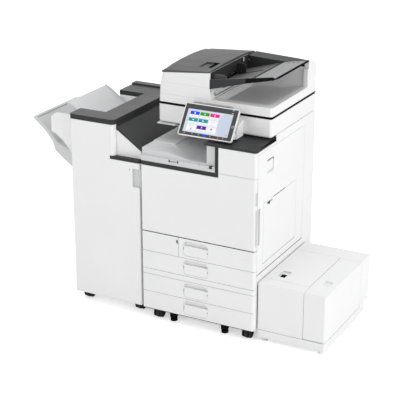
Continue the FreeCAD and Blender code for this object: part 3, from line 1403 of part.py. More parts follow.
def finisher_upper_tray():
    """Short fixed tray over the stacker, bent up towards its end."""
    top = [(-S.notch_right, S.upper_in_top), (-S.upper_mid + 57, S.upper_in_top + 22),
           (-S.upper_mid, S.upper_mid_top),
           (-S.upper_mid - 43, S.upper_mid_top + 33), (-S.upper_out, S.upper_out_top)]
    under = [(x, z - S.upper_thick) for x, z in reversed(top)]
    piece = Piece("finisher_upper_tray")
    piece.pad("XZ", S.upper_front, S.upper_back, top + under)
    lifted = [(x, z + 6) for x, z in top]
    rim = lifted + [(x, z + 0.0) for x, z in reversed(top)]
    for low in (S.upper_front, S.upper_back - S.tray_rim_wall):
        piece.pad("XZ", low, low + S.tray_rim_wall, rim)
    piece.done()


def lift_tray():
    """Stacker tray: a ribbed wedge, its folding outer half and the two arms that reach into the cabinet."""
    inner_x, fold = -S.lower_in, -S.lower_fold
    top = S.lower_fold_top
    front, back = S.lower_front, S.lower_back
    rim = S.tray_rim_wall
    joint = (fold - 13, top - 44)
    root = Piece("lift_tray_root")
    root.pad("XZ", front, back, [
        (inner_x, S.lower_in_top), (inner_x - 52, S.lower_in_top + 21), (fold + 15, top - 10),
        (fold, top), joint,
        (fold + 27, top - 76), (inner_x - 50, S.bracket_low + 32), (inner_x, S.bracket_low)])
    sink = S.tray_sink
    root.pocket("XZ", front + rim, back - rim, [
        (inner_x, S.lower_in_top - sink), (inner_x - 52, S.lower_in_top + 21 - sink),
        (fold + 15, top - 10 - sink),
        (fold - 3, top - sink), (fold - 3, top + 20), (inner_x, top + 20)])
    out, knee = -S.lower_out, -S.lower_knee
    end = Piece("lift_tray_end")
    end.pad("XZ", front, back, [
        (fold, top), (knee, S.lower_knee_top), (out + 14, S.lower_out_top - 4), (out, S.lower_out_top),
        (out, S.lower_out_top - 12), (knee - 13, S.lower_knee_top - 12), (fold - 28, top + 1), joint])
    end.pocket("XZ", front + rim, back - rim, [
        (fold + 8, top - sink - 2), (fold - 3, top - sink), (knee - 6, S.lower_knee_top - sink + 2),
        (out + 12, S.lower_out_top - sink - 2), (out + 12, S.lower_out_top + 20),
        (fold + 8, S.lower_out_top + 20)])
    members = [root.part(), end.part()]
    slot_one = front + S.lift_slot_in
    slot_two = back - S.lift_slot_in - S.lift_slot_wide
    for slot in (slot_one, slot_two):
        width = (slot + S.play, slot + S.lift_slot_wide - S.play)
        root_end = -S.fin_left + S.sheet + 12
        members.append(box("lift_arm", (inner_x, root_end), width, (S.lift_arm_low, S.lift_arm_high)))
    finish(group("lift_tray", members), "lift_tray")


def finisher_door():
    """Front of the finisher up to its cap, hinged at its rolled left edge, with a finger recess."""
    left, right = -S.fin_left, -S.fin_gap
    front = S.fin_front
    back = front + S.fin_door_thick
    low, high = S.fin_bottom, S.fin_door_top
    top, upper_right = S.column_top - S.seam, -S.column_right
    ledge, ledge_top = -S.ledge_left - S.seam, high + S.seam * 2 + S.ledge_thick
    half = S.fin_hinge_round
    piece = Piece("finisher_door")
    piece.pad("XZ", front, back, [
        (left + half, low), (right, low), (right, high), (ledge, high), (ledge, ledge_top),
        (upper_right, ledge_top), (upper_right, top), (left + half, top)])
    piece.pad("XY", low, top, rings=[(left + half, front + half, half)])
    piece.corner("XY", 4, right, front)
    piece.corner("XY", S.fin_door_thick - 1, upper_right, front)
    recess = rectangle(right - S.grip_in, right, S.grip_low, S.grip_high)
    piece.pocket("XZ", front, front + S.grip_sink, recess)
    piece.pocket("XZ", back - 13, back, rectangle(left + 34, right - S.grip_in - 12, low + 18, high - 18))
    pin = (left + half, front + half, S.tab_pin)
    piece.pad("XY", low - S.sheet + 1, low, rings=[pin])
    piece.pad("XY", top, top + S.seam + S.sheet - 1, rings=[pin])
    piece.done()


# ---------------------------------------------------------------- side paper unit

COVER_LEFT = S.side_split + S.seam / 2
LID_AXIS_X = S.side_split - S.seam / 2 - S.lid_round
LID_AXIS_Z = S.side_top - S.lid_round
SIDE_AXIS_X = S.side_right - S.cover_axis
SIDE_AXIS_Z = S.skirt_top + 1 + S.cover_axis


def side_cover_tabs():
    """Front ends of the tabs that carry the side unit's cover."""
    run = S.side_tail - S.side_front
    return S.side_front + run * 0.15, S.side_front + run * 0.8


def side_unit_housing():
    """Body of the side paper unit: skirt with floor, paper well, rear block and the cover's hinge tabs."""
    left, right = S.side_left, S.side_right
    front, back = S.side_front, S.side_back
    wall = S.side_wall_thick
    top = S.side_top - S.lid_round * 2 - S.play
    skirt = Piece("side_skirt")
    skirt.pad("XY", S.side_low, S.skirt_top, rectangle(left, right, front, S.side_step_back))
    skirt.corner("XY", S.side_corner, right, front)
    skirt.pocket("XY", S.side_low + wall, S.skirt_top,
                 rectangle(left + wall, right - wall, front + wall * 1.4, S.side_tail - wall))
    rear = Piece("side_rear_block")
    rear.pad("YZ", left, right, [
        (S.side_tail, S.skirt_top), (S.side_step_back, S.skirt_top), (S.side_step_back, S.side_step_top),
        (back, S.side_step_top), (back, S.side_top), (S.side_tail, S.side_top)])
    rear.pocket("YZ", left, right - wall, rectangle(S.side_tail + wall, back - wall, S.side_step_top + wall,
                                                   S.side_top - wall))
    pin = S.side_pin + S.pin_play
    rear.pocket("XZ", S.side_tail, S.side_tail + 4.5, rings=[(LID_AXIS_X, LID_AXIS_Z, pin)])
    strip = Piece("side_front_strip")
    seam = S.lid_front - S.seam / 2
    split = S.side_split - S.seam / 2
    strip.pad("XY", top + S.play, S.side_top, rectangle(left, split, front, seam))
    strip.pocket("XZ", seam - 4.5, seam, rings=[(LID_AXIS_X, LID_AXIS_Z, pin)])
    low = S.skirt_top
    inner = (left + wall, split - wall)
    plates = [
        ((left, split), (front, front + wall), (low, top + S.play)),
        ((left, left + wall), (front + wall, S.side_tail), (low, top)),
        ((split - wall, split), (front + wall, S.side_tail), (low, top)),
        (inner, (seam - wall, seam), (low, top + S.play)),
    ]
    blocks = [box("side_unit_plate", *limits) for limits in plates]
    x, z = SIDE_AXIS_X, SIDE_AXIS_Z
    arm = [(x - 14, low - 16), (right - wall, low - 16), (right - wall, low - 4), (x - 1.5, low),
           (x - 1.2, z - 4),
           (x - 5, z + 2), (x - 14, z + 2)]
    blocks += tabs("side_cover_tab", "XZ", side_cover_tabs(), arm, x, z)
    members = [skirt.part(), rear.part(), strip.part()] + blocks
    finish(group("side_unit_housing", members), "side_unit_housing")


def side_unit_lid():
    """Loading lid over the paper well, rolled at its hinged right edge, with a finger cup."""
    left = S.side_left
    front, back = S.lid_front + S.seam / 2, S.side_tail - S.seam
    low, high = S.side_top - S.lid_round * 2, S.side_top
    piece = Piece("side_unit_lid")
    piece.pad("XZ", front, back, rectangle(left, LID_AXIS_X, low, high))
    piece.pad("XZ", front, back, rings=[(LID_AXIS_X, LID_AXIS_Z, S.lid_round)])
    cup = rectangle(S.left_cup_at, S.left_cup_at + S.left_cup_wide, S.left_cup_front,
                    S.left_cup_front + S.left_cup_deep)
    piece.pocket("XY", high - S.cup_sink + 3, high, cup)
    piece.pad("XZ", front - 5, back + 5, rings=[(LID_AXIS_X, LID_AXIS_Z, S.side_pin)])
    piece.done()


def side_unit_lift_plate():
    """Paper lift plate in the side unit's well."""
    wall = S.side_wall_thick
    left = S.side_left + wall + S.play
    right = S.side_split - S.seam / 2 - wall - S.play
    front, back = S.lid_front - S.seam / 2 + S.play, S.side_tail - S.play
    level = S.side_plate_level
    piece = Piece("side_unit_lift_plate")
    piece.pad("XY", level, level + S.shell, rectangle(left, right, front, back))
    notch = rectangle(left + 80, right - 80, front, front + 60)
    piece.pocket("XY", level, level + S.shell, notch)
    piece.done()


def side_unit_cover():
    """Outer cover of the side unit: top, right and front walls in one shell that tips outwards."""
    left, right = COVER_LEFT, S.side_right
    front, back = S.side_front, S.side_tail - S.seam
    low, high = S.skirt_top + 1, S.side_top
    wall = S.side_wall_thick
    piece = Piece("side_unit_cover")
    piece.pad("XZ", front, back, rectangle(left, right, low, high))
    piece.corner("XY", S.side_corner, right, front)
    hollow = rectangle(left, right - wall, low, high - wall)
    piece.pocket("XZ", front + wall * 1.4, back, hollow)
    cup_right = S.right_cup_at + S.right_cup_wide
    cup_back = S.right_cup_front + S.right_cup_deep
    outer = rectangle(S.right_cup_at - 3, cup_right + 3, S.right_cup_front - 3, cup_back + 3)
    piece.pad("XY", high - S.cup_sink - 3, high - wall, outer)
    right_cup = rectangle(S.right_cup_at, cup_right, S.right_cup_front, cup_back)
    piece.pocket("XY", high - S.cup_sink, high, right_cup)

    def heel(edge, point):
        ends = [vertex.Point for vertex in edge.Vertexes]
        return all(abs(end.z - low.value) < 0.01 and abs(end.x - right.value) < 0.01 for end in ends) and \
            abs(ends[0].y - ends[-1].y) > 100

    piece.round(wall - 0.2, heel)
    reach = S.tab_eye + S.play
    x, z = SIDE_AXIS_X, SIDE_AXIS_Z
    gap = rectangle(x - reach, x + reach, low, z + reach + 1)
    pin_gaps(piece, "XZ", side_cover_tabs(), gap, x, z)
    piece.done()


# ---------------------------------------------------------------- brackets, casters and feet

def docking_brackets():
    """Flat brackets that tie the finisher and the side unit to the main unit."""
    play = S.play
    gap = (-S.fin_gap, 0)
    blocks = []
    for front in (as_size(100), S.main_depth - 150):
        for low in (300, 600):
            blocks.append((gap, (front, front + 40), (low, low + 24)))
    beside = (S.main_width, S.side_left)
    blocks.append((beside, (50, 90), (200, 224)))
    blocks.append((beside, (S.main_depth - 170, S.main_depth - 130), (200, 224)))
    slabs("docking_brackets", blocks)


CASTERS = {
    "main_left": (S.left_caster, S.front_axle),
    "main_right": (S.right_caster, S.front_axle),
    "finisher_left": (-S.fin_left_caster, S.fin_axle),
    "finisher_right": (-S.fin_right_caster, S.fin_axle),
}
RACE_LOW = S.under_gap - 1
DISC_HIGH = RACE_LOW - S.play
DISC_LOW = DISC_HIGH - S.fork_disc_thick + 0.5


def fork(name, x, y, trail):
    """Sheet fork with a round top plate and an axle pin, its axle set back by the trail."""
    piece = Piece(name)
    piece.pad("XY", DISC_LOW, DISC_HIGH, rings=[(x, y - trail, S.fork_disc)])
    inner = S.wheel_width / 2 + S.cheek_gap
    z = S.wheel_radius
    cheek = [(y - trail - 14, DISC_LOW), (y - 9, z + 3), (y - 9, z - 4), (y - 4, z - 9), (y + 4, z - 9),
             (y + 9, z - 4), (y + 9, z + 6), (y - trail + 14, DISC_LOW)]
    for low, high in ((x - inner - S.cheek, x - inner), (x + inner, x + inner + S.cheek)):
        piece.pad("YZ", low, high, cheek)
    piece.pad("YZ", x - inner, x + inner, rings=[(y, z, S.axle_radius)])
    return piece


def wheel(name, x, y):
    """Solid castor wheel with a bevelled tread and a bored hub."""
    piece = Piece(name)
    z = S.wheel_radius
    half = S.wheel_width / 2
    piece.pad("YZ", x - half, x + half, rings=[(y, z, S.wheel_radius)])
    outer = S.wheel_radius.value

    def tread(edge, point):
        return hasattr(edge.Curve, "Radius") and abs(edge.Curve.Radius - outer) < 0.01

    piece.bevel(S.tread_bevel, tread)
    piece.pocket("YZ", x - half, x + half, rings=[(y, z, S.axle_radius + S.pin_play)])
    return piece


def race(name, x, y, low):
    """Square plate under the base over one fork."""
    half = S.race_radius
    return box(name, (x - half, x + half), (y - S.trail - half, y - S.trail + half), (low, S.under_gap))


def casters():
    """Four swivelling casters in front, fixed forks behind, and the plates under the two bases."""
    for name, (x, y) in CASTERS.items():
        fork("%s_fork" % name, x, y, S.trail).done()
        wheel("%s_wheel" % name, x, y).done()
    rear = []
    pairs = {
        "main_rear_wheels": (S.rear_axle, (S.left_caster, S.rear_right_caster)),
        "finisher_rear_wheels": (S.fin_rear_axle, (-S.fin_left_caster, -S.fin_right_caster)),
    }
    for name, (y, places) in pairs.items():
        wheels = []
        for number, x in enumerate(places):
            wheels.append(wheel("%s_%d" % (name, number + 1), x, y).part())
            rear.append(fork("%s_fork_%d" % (name, number + 1), x, y, S.trail).part())
            rear.append(race("rear_race", x, y, DISC_HIGH))
        finish(group(name, wheels), name)
    for x, y in CASTERS.values():
        rear.append(race("front_race", x, y, RACE_LOW))
    finish(group("rear_caster_forks", rear), "rear_caster_forks")


def leveling_feet():
    """Feet with threaded studs under the main unit, and four short feet under the side unit."""
    feet = []
    for x in (S.foot_left, S.foot_right):
        pad = rod("foot_pad", "Z", (x, S.foot_depth), S.foot_radius, 0, S.foot_high)
        stud = rod("foot_stud", "Z", (x, S.foot_depth), S.stud_radius, S.foot_high, S.under_gap)
        feet.append(fuse("leveling_foot", [pad, stud]))
    inset = S.foot_radius + 10
    for x in (S.side_left + inset, S.side_right - inset):
        for y in (S.side_front + inset, S.side_step_back - inset):
            feet.append(rod("side_foot", "Z", (x, y), S.foot_radius - 3, 0, S.side_low))
    finish(group("leveling_feet", feet), "leveling_feet")


# ---------------------------------------------------------------- the whole machine

def export_parts():
    """Check every object and every finished shape, then write one file for each node."""
    DOC.recompute()
    for item in DOC.Objects:
        if "Invalid" in item.State or "Error" in item.State:
            raise RuntimeError("%s failed: %s" % (item.Label, item.State))
    os.makedirs("parts", exist_ok=True)
    for node in NODES:
        if node.Shape.isNull() or not node.Shape.isValid():
            raise RuntimeError("%s has no valid shape" % node.Label)
        node.Shape.exportStep("parts/%s.step" % node.Label)
    print("wrote %d parts" % len(NODES))


MAIN_UNIT = (bank_frame, main_frame, side_and_back_covers, rear_cover, front_panels, power_switch, drawers,
             front_door, engine_cover, toner_bottles, inner_tray, exit_trim)
TOP = (scanner_body, platen_glass, scan_carriage, panel_arm, panel_shell, panel_screen, feeder_body, feed_roller,
       pressure_plate, feeder_cover, input_tray, document_fences)
SIDES = (right_door, right_door_latch, bypass_tray, finisher_housing, finisher_top_cover, bridge_cover,
         finisher_upper_tray, lift_tray, finisher_door, side_unit_housing, side_unit_lid, side_unit_lift_plate,
         side_unit_cover, docking_brackets, casters, leveling_feet)

for make in MAIN_UNIT + TOP + SIDES:
    make()
export_parts()
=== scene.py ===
import json
import math

from collections import namedtuple

import bpy
from mathutils import Matrix, Vector


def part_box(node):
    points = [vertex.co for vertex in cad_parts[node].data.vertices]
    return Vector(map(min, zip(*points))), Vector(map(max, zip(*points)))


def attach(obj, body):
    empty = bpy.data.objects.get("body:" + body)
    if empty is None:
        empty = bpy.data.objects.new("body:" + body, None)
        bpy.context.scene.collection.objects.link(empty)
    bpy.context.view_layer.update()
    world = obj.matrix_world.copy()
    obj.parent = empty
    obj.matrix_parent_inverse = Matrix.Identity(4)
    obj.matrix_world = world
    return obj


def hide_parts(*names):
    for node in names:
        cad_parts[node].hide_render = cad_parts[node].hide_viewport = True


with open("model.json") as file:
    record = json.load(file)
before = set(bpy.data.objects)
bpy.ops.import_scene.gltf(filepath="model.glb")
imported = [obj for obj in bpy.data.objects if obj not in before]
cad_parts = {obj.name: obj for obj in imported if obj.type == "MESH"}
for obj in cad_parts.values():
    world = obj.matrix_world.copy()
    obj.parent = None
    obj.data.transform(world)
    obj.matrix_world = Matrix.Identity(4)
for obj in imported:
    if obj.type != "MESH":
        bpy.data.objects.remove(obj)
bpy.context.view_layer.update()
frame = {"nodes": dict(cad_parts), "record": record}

nodes = frame["nodes"]


# ---------------- shader nodes

def adjust(node, **settings):
    """Gives a node its settings. One named as a socket is that socket's value."""
    for key, value in settings.items():
        socket = node.inputs.get(key.replace("_", " "))
        if socket is None:
            setattr(node, key, value)
        else:
            socket.default_value = value
    return node


def put(tree, kind, **settings):
    """A new node with its settings."""
    return adjust(tree.nodes.new(kind), **settings)


def feed(node, **sources):
    """Links each source to the node's socket of its name."""
    for key, source in sources.items():
        node.id_data.links.new(source, node.inputs[key.replace("_", " ")])


def fill(tree, socket, value):
    """Links a source to a socket, or writes a plain value in it."""
    if isinstance(value, bpy.types.NodeSocket):
        tree.links.new(value, socket)
    else:
        socket.default_value = value


def sums(tree, operation, first, second, kind="ShaderNodeMath"):
    """One step of arithmetic on two sockets or values."""
    step = put(tree, kind, operation=operation)
    fill(tree, step.inputs[0], first)
    fill(tree, step.inputs[1], second)
    return step.outputs["Value"]


def place_on(tree):
    """A point's place on the object, in metres."""
    return put(tree, "ShaderNodeTexCoord").outputs["Object"]


def noise(tree, place, size, detail=2.0, roughness=0.5):
    """A noise texture over place, its bumps size metres across."""
    texture = put(tree, "ShaderNodeTexNoise", Scale=1.0 / size, Detail=detail, Roughness=roughness)
    feed(texture, Vector=place)
    return texture.outputs["Fac"]


def spread(tree, value, low, high, to_low=0.0, to_high=1.0):
    """Maps value from low..high to to_low..to_high, and holds it there."""
    span = put(tree, "ShaderNodeMapRange", From_Min=low, From_Max=high, To_Min=to_low, To_Max=to_high)
    feed(span, Value=value)
    return span.outputs["Result"]


def blend_colours(tree, mask, first, second):
    """second over first where mask is 1. Each is a colour or a socket."""
    mix = put(tree, "ShaderNodeMix", data_type="RGBA")
    feed(mix, Factor=mask)
    for slot, value in ((6, first), (7, second)):
        fill(tree, mix.inputs[slot], (*value, 1) if isinstance(value, tuple) else value)
    return mix.outputs[2]


def raised(tree, height, normal, depth, distance):
    """A normal that height raises out of another normal."""
    bump = put(tree, "ShaderNodeBump", Strength=depth, Distance=distance)
    feed(bump, Height=height, Normal=normal)
    return bump.outputs["Normal"]


def new_material(name):
    material = bpy.data.materials.new(name)
    material.use_nodes = True
    return material, material.node_tree, material.node_tree.nodes["Principled BSDF"]


# ---------------- camera, floor and lamps

SKY_LEVEL = 0.62
FLOOR_LIFT = 0.5
PURE_WHITE = (1, 1, 1, 1)


def look_from(place, pitch, turn, lens):
    """A camera at place, tipped down from the level by 90 - pitch degrees and turned about Z."""
    view = bpy.data.cameras.new("studio_camera")
    view.lens = lens
    camera = bpy.data.objects.new("studio_camera", view)
    camera.location = place
    camera.rotation_euler = (math.radians(pitch), 0, math.radians(turn))
    bpy.context.scene.collection.objects.link(camera)
    bpy.context.scene.camera = camera


def soft_lamp(name, place, aim, size, power):
    """A square softbox at place that faces aim."""
    light = bpy.data.lights.new(name, "AREA")
    light.shape = "SQUARE"
    light.size = size
    light.energy = power
    lamp = bpy.data.objects.new(name, light)
    lamp.location = place
    lamp.rotation_euler = (Vector(aim) - Vector(place)).to_track_quat("-Z", "Y").to_euler()
    bpy.context.scene.collection.objects.link(lamp)


def white_surroundings():
    """A pale even sky that looks plain white straight on, in glass and in gloss."""
    world = bpy.data.worlds.new("studio_sky")
    bpy.context.scene.world = world
    world.use_nodes = True
    tree = world.node_tree
    tree.nodes.clear()
    path = put(tree, "ShaderNodeLightPath").outputs
    seen = sums(tree, "MAXIMUM", path["Is Camera Ray"], path["Is Glossy Ray"])
    mix = put(tree, "ShaderNodeMixShader")
    feed(mix, Fac=sums(tree, "MAXIMUM", seen, path["Is Transmission Ray"]))
    for slot, strength in ((1, SKY_LEVEL), (2, 1.0)):
        sky = put(tree, "ShaderNodeBackground", Color=PURE_WHITE, Strength=strength)
        tree.links.new(sky.outputs[0], mix.inputs[slot])
    feed(put(tree, "ShaderNodeOutputWorld"), Surface=mix.outputs[0])


def pale_floor():
    """A white floor that the machine's shadow falls on."""
    bpy.ops.object.select_all(action="DESELECT")
    bpy.ops.mesh.primitive_plane_add(size=30, location=(0, 0, 0))
    floor = bpy.context.object
    floor.name = "studio_floor"
    material, tree, surface = new_material("studio_floor")
    adjust(surface, Base_Color=(0.93, 0.93, 0.93, 1), Roughness=0.9, Specular_IOR_Level=0.2,
           Emission_Color=PURE_WHITE)
    camera_ray = put(tree, "ShaderNodeLightPath").outputs["Is Camera Ray"]
    feed(surface, Emission_Strength=sums(tree, "MULTIPLY", camera_ray, FLOOR_LIFT))
    floor.data.materials.append(material)


look_from(place=(2.597, -4.9415, 2.6463), pitch=69.09, turn=27.79, lens=111.2)
white_surroundings()
pale_floor()
soft_lamp("right_softbox", place=(6.0, -1.4, 2.6), aim=(0.2, 0, 0.4), size=4.0, power=158)
soft_lamp("front_softbox", place=(-1.8, -4.2, 2.1), aim=(-0.1, -0.2, 0.6), size=2.4, power=40)
soft_lamp("top_softbox", place=(0.1, 0.5, 4.2), aim=(0.1, 0, 0.6), size=2.4, power=36)
bpy.context.scene.view_settings.view_transform = "Standard"


# ---------------- effects that several finishes share

def effect(name, inputs, outputs):
    """An empty node group with these named sockets. Returns the group, its input node and its output node."""
    group = bpy.data.node_groups.new(name, "ShaderNodeTree")
    for label, value in inputs:
        socket = group.interface.new_socket(label, in_out="INPUT", socket_type="NodeSocketFloat")
        socket.default_value = value
    for label, kind in outputs:
        group.interface.new_socket(label, in_out="OUTPUT", socket_type=kind)
    return group, group.nodes.new("NodeGroupInput"), group.nodes.new("NodeGroupOutput")


def corner_wear_effect():
    """Corners: how rounded they look, and where handling has rubbed them."""
    group, given, out = effect("corner_wear", [("Corner Radius", 0.0008), ("Wear", 0.5)],
                               [("Normal", "NodeSocketVector"), ("Rubbed", "NodeSocketFloat")])
    soft = put(group, "ShaderNodeBevel", samples=4)
    feed(soft, Radius=given.outputs["Corner Radius"])
    face = put(group, "ShaderNodeNewGeometry")
    alike = sums(group, "DOT_PRODUCT", soft.outputs["Normal"], face.outputs["Normal"], "ShaderNodeVectorMath")
    turned = spread(group, alike, 0.995, 0.8)
    patchy = spread(group, noise(group, place_on(group), 0.03, 3.0, 0.6), 0.42, 0.62)
    rubbed = sums(group, "MULTIPLY", sums(group, "MULTIPLY", turned, patchy), given.outputs["Wear"])
    feed(out, Normal=soft.outputs["Normal"], Rubbed=rubbed)
    return group


def moulded_grain_effect():
    """The spark-eroded grain of a moulded cover, its slow unevenness, and the sheen that hands leave on it."""
    group, given, out = effect("moulded_grain", [("Grain Size", 0.0009), ("Unevenness", 1.0)],
                               [(label, "NodeSocketFloat") for label in ("Height", "Shade", "Handled")])
    place = place_on(group)
    fine = put(group, "ShaderNodeVectorMath", operation="SCALE")
    feed(fine, Vector=place, Scale=sums(group, "DIVIDE", 1.0, given.outputs["Grain Size"]))
    pits = put(group, "ShaderNodeTexVoronoi", Scale=1.0)
    specks = put(group, "ShaderNodeTexNoise", Scale=2.1, Detail=2.0)
    feed(pits, Vector=fine.outputs["Vector"])
    feed(specks, Vector=fine.outputs["Vector"])
    height = sums(group, "ADD", sums(group, "MULTIPLY", pits.outputs["Distance"], 0.6), specks.outputs["Fac"])
    slow = sums(group, "SUBTRACT", noise(group, place, 0.35), 0.5)
    cloudy = sums(group, "ADD", sums(group, "MULTIPLY", slow, given.outputs["Unevenness"]), 0.5)
    specked = sums(group, "MULTIPLY", sums(group, "SUBTRACT", specks.outputs["Fac"], 0.5), 0.5)
    handled = spread(group, noise(group, place, 0.11, 4.0, 0.65), 0.35, 0.7)
    feed(out, Height=height, Shade=sums(group, "ADD", cloudy, specked), Handled=handled)
    return group


CORNER_WEAR = corner_wear_effect()
MOULDED_GRAIN = moulded_grain_effect()


def shared(tree, group, **values):
    """What a shared effect gives a material that places it with the material's own values."""
    return put(tree, "ShaderNodeGroup", node_tree=group, **values).outputs


# ---------------- finishes

def moulded_plastic(name, colour, rubbed, gloss, depth=0.25, wear=0.5, sheen=0.5):
    """A moulded plastic: colour with a slow unevenness, grain, and corners rubbed towards another colour."""
    material, tree, surface = new_material(name)
    skin = shared(tree, MOULDED_GRAIN, Grain_Size=0.0009, Unevenness=1.0)
    corner = shared(tree, CORNER_WEAR, Corner_Radius=0.0008, Wear=wear)
    darker = tuple(c * 0.965 for c in colour)
    lighter = tuple(min(1.0, c * 1.02) for c in colour)
    base = blend_colours(tree, skin["Shade"], darker, lighter)
    adjust(surface, Specular_IOR_Level=sheen)
    feed(surface, Base_Color=blend_colours(tree, corner["Rubbed"], base, rubbed),
         Roughness=spread(tree, skin["Handled"], 0, 1, gloss, gloss - 0.09),
         Normal=raised(tree, skin["Height"], corner["Normal"], depth, 0.0002))
    return material


def zinc_sheet(name):
    """Zinc-coated steel sheet: soft spangle, faint rolling lines."""
    material, tree, surface = new_material(name)
    place = place_on(tree)
    spangle = put(tree, "ShaderNodeTexVoronoi", Scale=90.0)
    feed(spangle, Vector=place)
    tone = put(tree, "ShaderNodeSeparateColor")
    feed(tone, Color=spangle.outputs["Color"])
    corner = shared(tree, CORNER_WEAR, Corner_Radius=0.0005, Wear=0.7)
    base = blend_colours(tree, tone.outputs["Red"], (0.60, 0.61, 0.62), (0.70, 0.71, 0.72))
    stretched = put(tree, "ShaderNodeMapping", Scale=(900, 30, 900))
    feed(stretched, Vector=place)
    lines = put(tree, "ShaderNodeTexNoise", Scale=1.0)
    feed(lines, Vector=stretched.outputs["Vector"])
    adjust(surface, Metallic=0.85)
    feed(surface, Base_Color=blend_colours(tree, corner["Rubbed"], base, (0.80, 0.80, 0.80)),
         Roughness=spread(tree, tone.outputs["Green"], 0, 1, 0.38, 0.5),
         Normal=raised(tree, lines.outputs["Fac"], corner["Normal"], 0.08, 0.0002))
    return material


def plated_steel(name, colour, rough):
    """Pressed and plated steel, finely scratched."""
    material, tree, surface = new_material(name)
    place = place_on(tree)
    corner = shared(tree, CORNER_WEAR, Corner_Radius=0.0006, Wear=0.9)
    bright = tuple(min(1.0, c * 1.9) for c in colour)
    base = blend_colours(tree, noise(tree, place, 0.006, 4.0, 0.7), tuple(c * 0.85 for c in colour), colour)
    scratches = noise(tree, place, 0.0015, 5.0, 0.8)
    adjust(surface, Metallic=1.0)
    feed(surface, Base_Color=blend_colours(tree, corner["Rubbed"], base, bright),
         Roughness=spread(tree, scratches, 0.3, 0.7, rough - 0.08, rough + 0.1), Normal=corner["Normal"])
    return material


def rubber(name, colour, dusty):
    """Matt rubber with scuffs and a little floor dust in its pores."""
    material, tree, surface = new_material(name)
    place = place_on(tree)
    corner = shared(tree, CORNER_WEAR, Corner_Radius=0.0008, Wear=0.8)
    pores = noise(tree, place, 0.0012, 4.0, 0.7)
    dust = spread(tree, noise(tree, place, 0.02, 4.0, 0.65), 0.5, 0.8, 0.0, 0.35)
    base = blend_colours(tree, dust, colour, dusty)
    feed(surface, Base_Color=blend_colours(tree, corner["Rubbed"], base, dusty),
         Roughness=spread(tree, pores, 0.3, 0.7, 0.72, 0.9),
         Normal=raised(tree, pores, corner["Normal"], 0.3, 0.0003))
    return material


def clear_glass(name):
    """Polished float glass, faintly green, with a few wiped smears."""
    material, tree, surface = new_material(name)
    adjust(surface, Base_Color=(0.90, 0.97, 0.95, 1), Transmission_Weight=1.0, IOR=1.5)
    feed(surface, Roughness=spread(tree, noise(tree, place_on(tree), 0.06, 5.0, 0.7), 0.5, 0.8, 0.01, 0.09))
    return material


def black_glass(name):
    """The black-backed glass of a touch panel, with faint finger smears."""
    material, tree, surface = new_material(name)
    smear = spread(tree, noise(tree, place_on(tree), 0.018, 5.0, 0.7), 0.52, 0.75)
    adjust(surface, Coat_Weight=0.6, Coat_Roughness=0.04)
    feed(surface, Base_Color=blend_colours(tree, smear, (0.017, 0.018, 0.020), (0.028, 0.029, 0.031)),
         Roughness=sums(tree, "ADD", sums(tree, "MULTIPLY", smear, 0.12), 0.08))
    return material


def white_sheet_pad(name):
    """A smooth white sheet bonded on foam, a little pillowed and faintly yellowed towards its rim."""
    material, tree, surface = new_material(name)
    corner = shared(tree, CORNER_WEAR, Corner_Radius=0.0015, Wear=0.4)
    cloud = noise(tree, place_on(tree), 0.09, 3.0, 0.6)
    base = blend_colours(tree, cloud, (0.86, 0.86, 0.84), (0.90, 0.90, 0.89))
    feed(surface, Base_Color=blend_colours(tree, corner["Rubbed"], base, (0.80, 0.79, 0.75)),
         Roughness=spread(tree, cloud, 0.3, 0.7, 0.4, 0.5),
         Normal=raised(tree, cloud, corner["Normal"], 0.2, 0.002))
    return material


def glow(surface, colour, roughness):
    """Makes a surface shine evenly by itself, as a display does, with no gloss over it."""
    adjust(surface, Emission_Strength=1.0, Specular_IOR_Level=0.0, Base_Color=(0.01, 0.01, 0.01, 1))
    feed(surface, Emission_Color=colour, Roughness=roughness)


def lit_glass(name, colour):
    """A patch of the lit display, with the faint unevenness of its back light."""
    material, tree, surface = new_material(name)
    cloud = spread(tree, noise(tree, place_on(tree), 0.05), 0.3, 0.7)
    uneven = blend_colours(tree, cloud, tuple(c * 0.97 for c in colour), colour)
    glow(surface, uneven, spread(tree, cloud, 0, 1, 0.14, 0.2))
    return material


def display_ground(name):
    """The display's pale background, with two soft arcs."""
    material, tree, surface = new_material(name)
    place = place_on(tree)
    colour = (0.68, 0.73, 0.83)
    for middle, reach, shade in (((0.30, -0.30, 1.02), 0.085, (0.60, 0.66, 0.79)),
                                 ((0.34, -0.25, 1.08), 0.075, (0.64, 0.69, 0.80))):
        away = sums(tree, "DISTANCE", place, middle, "ShaderNodeVectorMath")
        colour = blend_colours(tree, spread(tree, away, reach + 0.002, reach - 0.004), colour, shade)
    glow(surface, colour, spread(tree, noise(tree, place, 0.02, 4.0, 0.6), 0.4, 0.7, 0.12, 0.2))
    return material


WHITE = moulded_plastic("white_cover_plastic", (0.845, 0.845, 0.850), (0.90, 0.90, 0.90), 0.52, wear=0.6)
CHARCOAL = moulded_plastic("charcoal_plastic", (0.027, 0.0275, 0.029), (0.09, 0.09, 0.095), 0.55, wear=0.6,
                           sheen=0.3)
COVER_GREY = moulded_plastic("cover_grey_plastic", (0.066, 0.066, 0.069), (0.15, 0.15, 0.155), 0.5, wear=0.6)
# A lighter grey for the up-facing faces of the tray's inner half: a painted reflection of the pale surroundings.
TRAY_TOP_SHEEN = moulded_plastic("tray_painted_sheen", (0.10, 0.10, 0.103), (0.2, 0.2, 0.2), 0.5)
# A mid grey for the middle of the tray's outer half: a painted reflection of the pale surroundings.
TRAY_REFLECTION_GREY = moulded_plastic("tray_painted_reflection", (0.27, 0.27, 0.275), (0.36, 0.36, 0.36), 0.5, wear=0.4)
GUIDE_BLACK = moulded_plastic("guide_black_plastic", (0.022, 0.022, 0.024), (0.09, 0.09, 0.09), 0.5, wear=0.6,
                              sheen=0.2)
PALE = moulded_plastic("pale_grey_plastic", (0.64, 0.645, 0.65), (0.74, 0.74, 0.74), 0.45, depth=0.15)
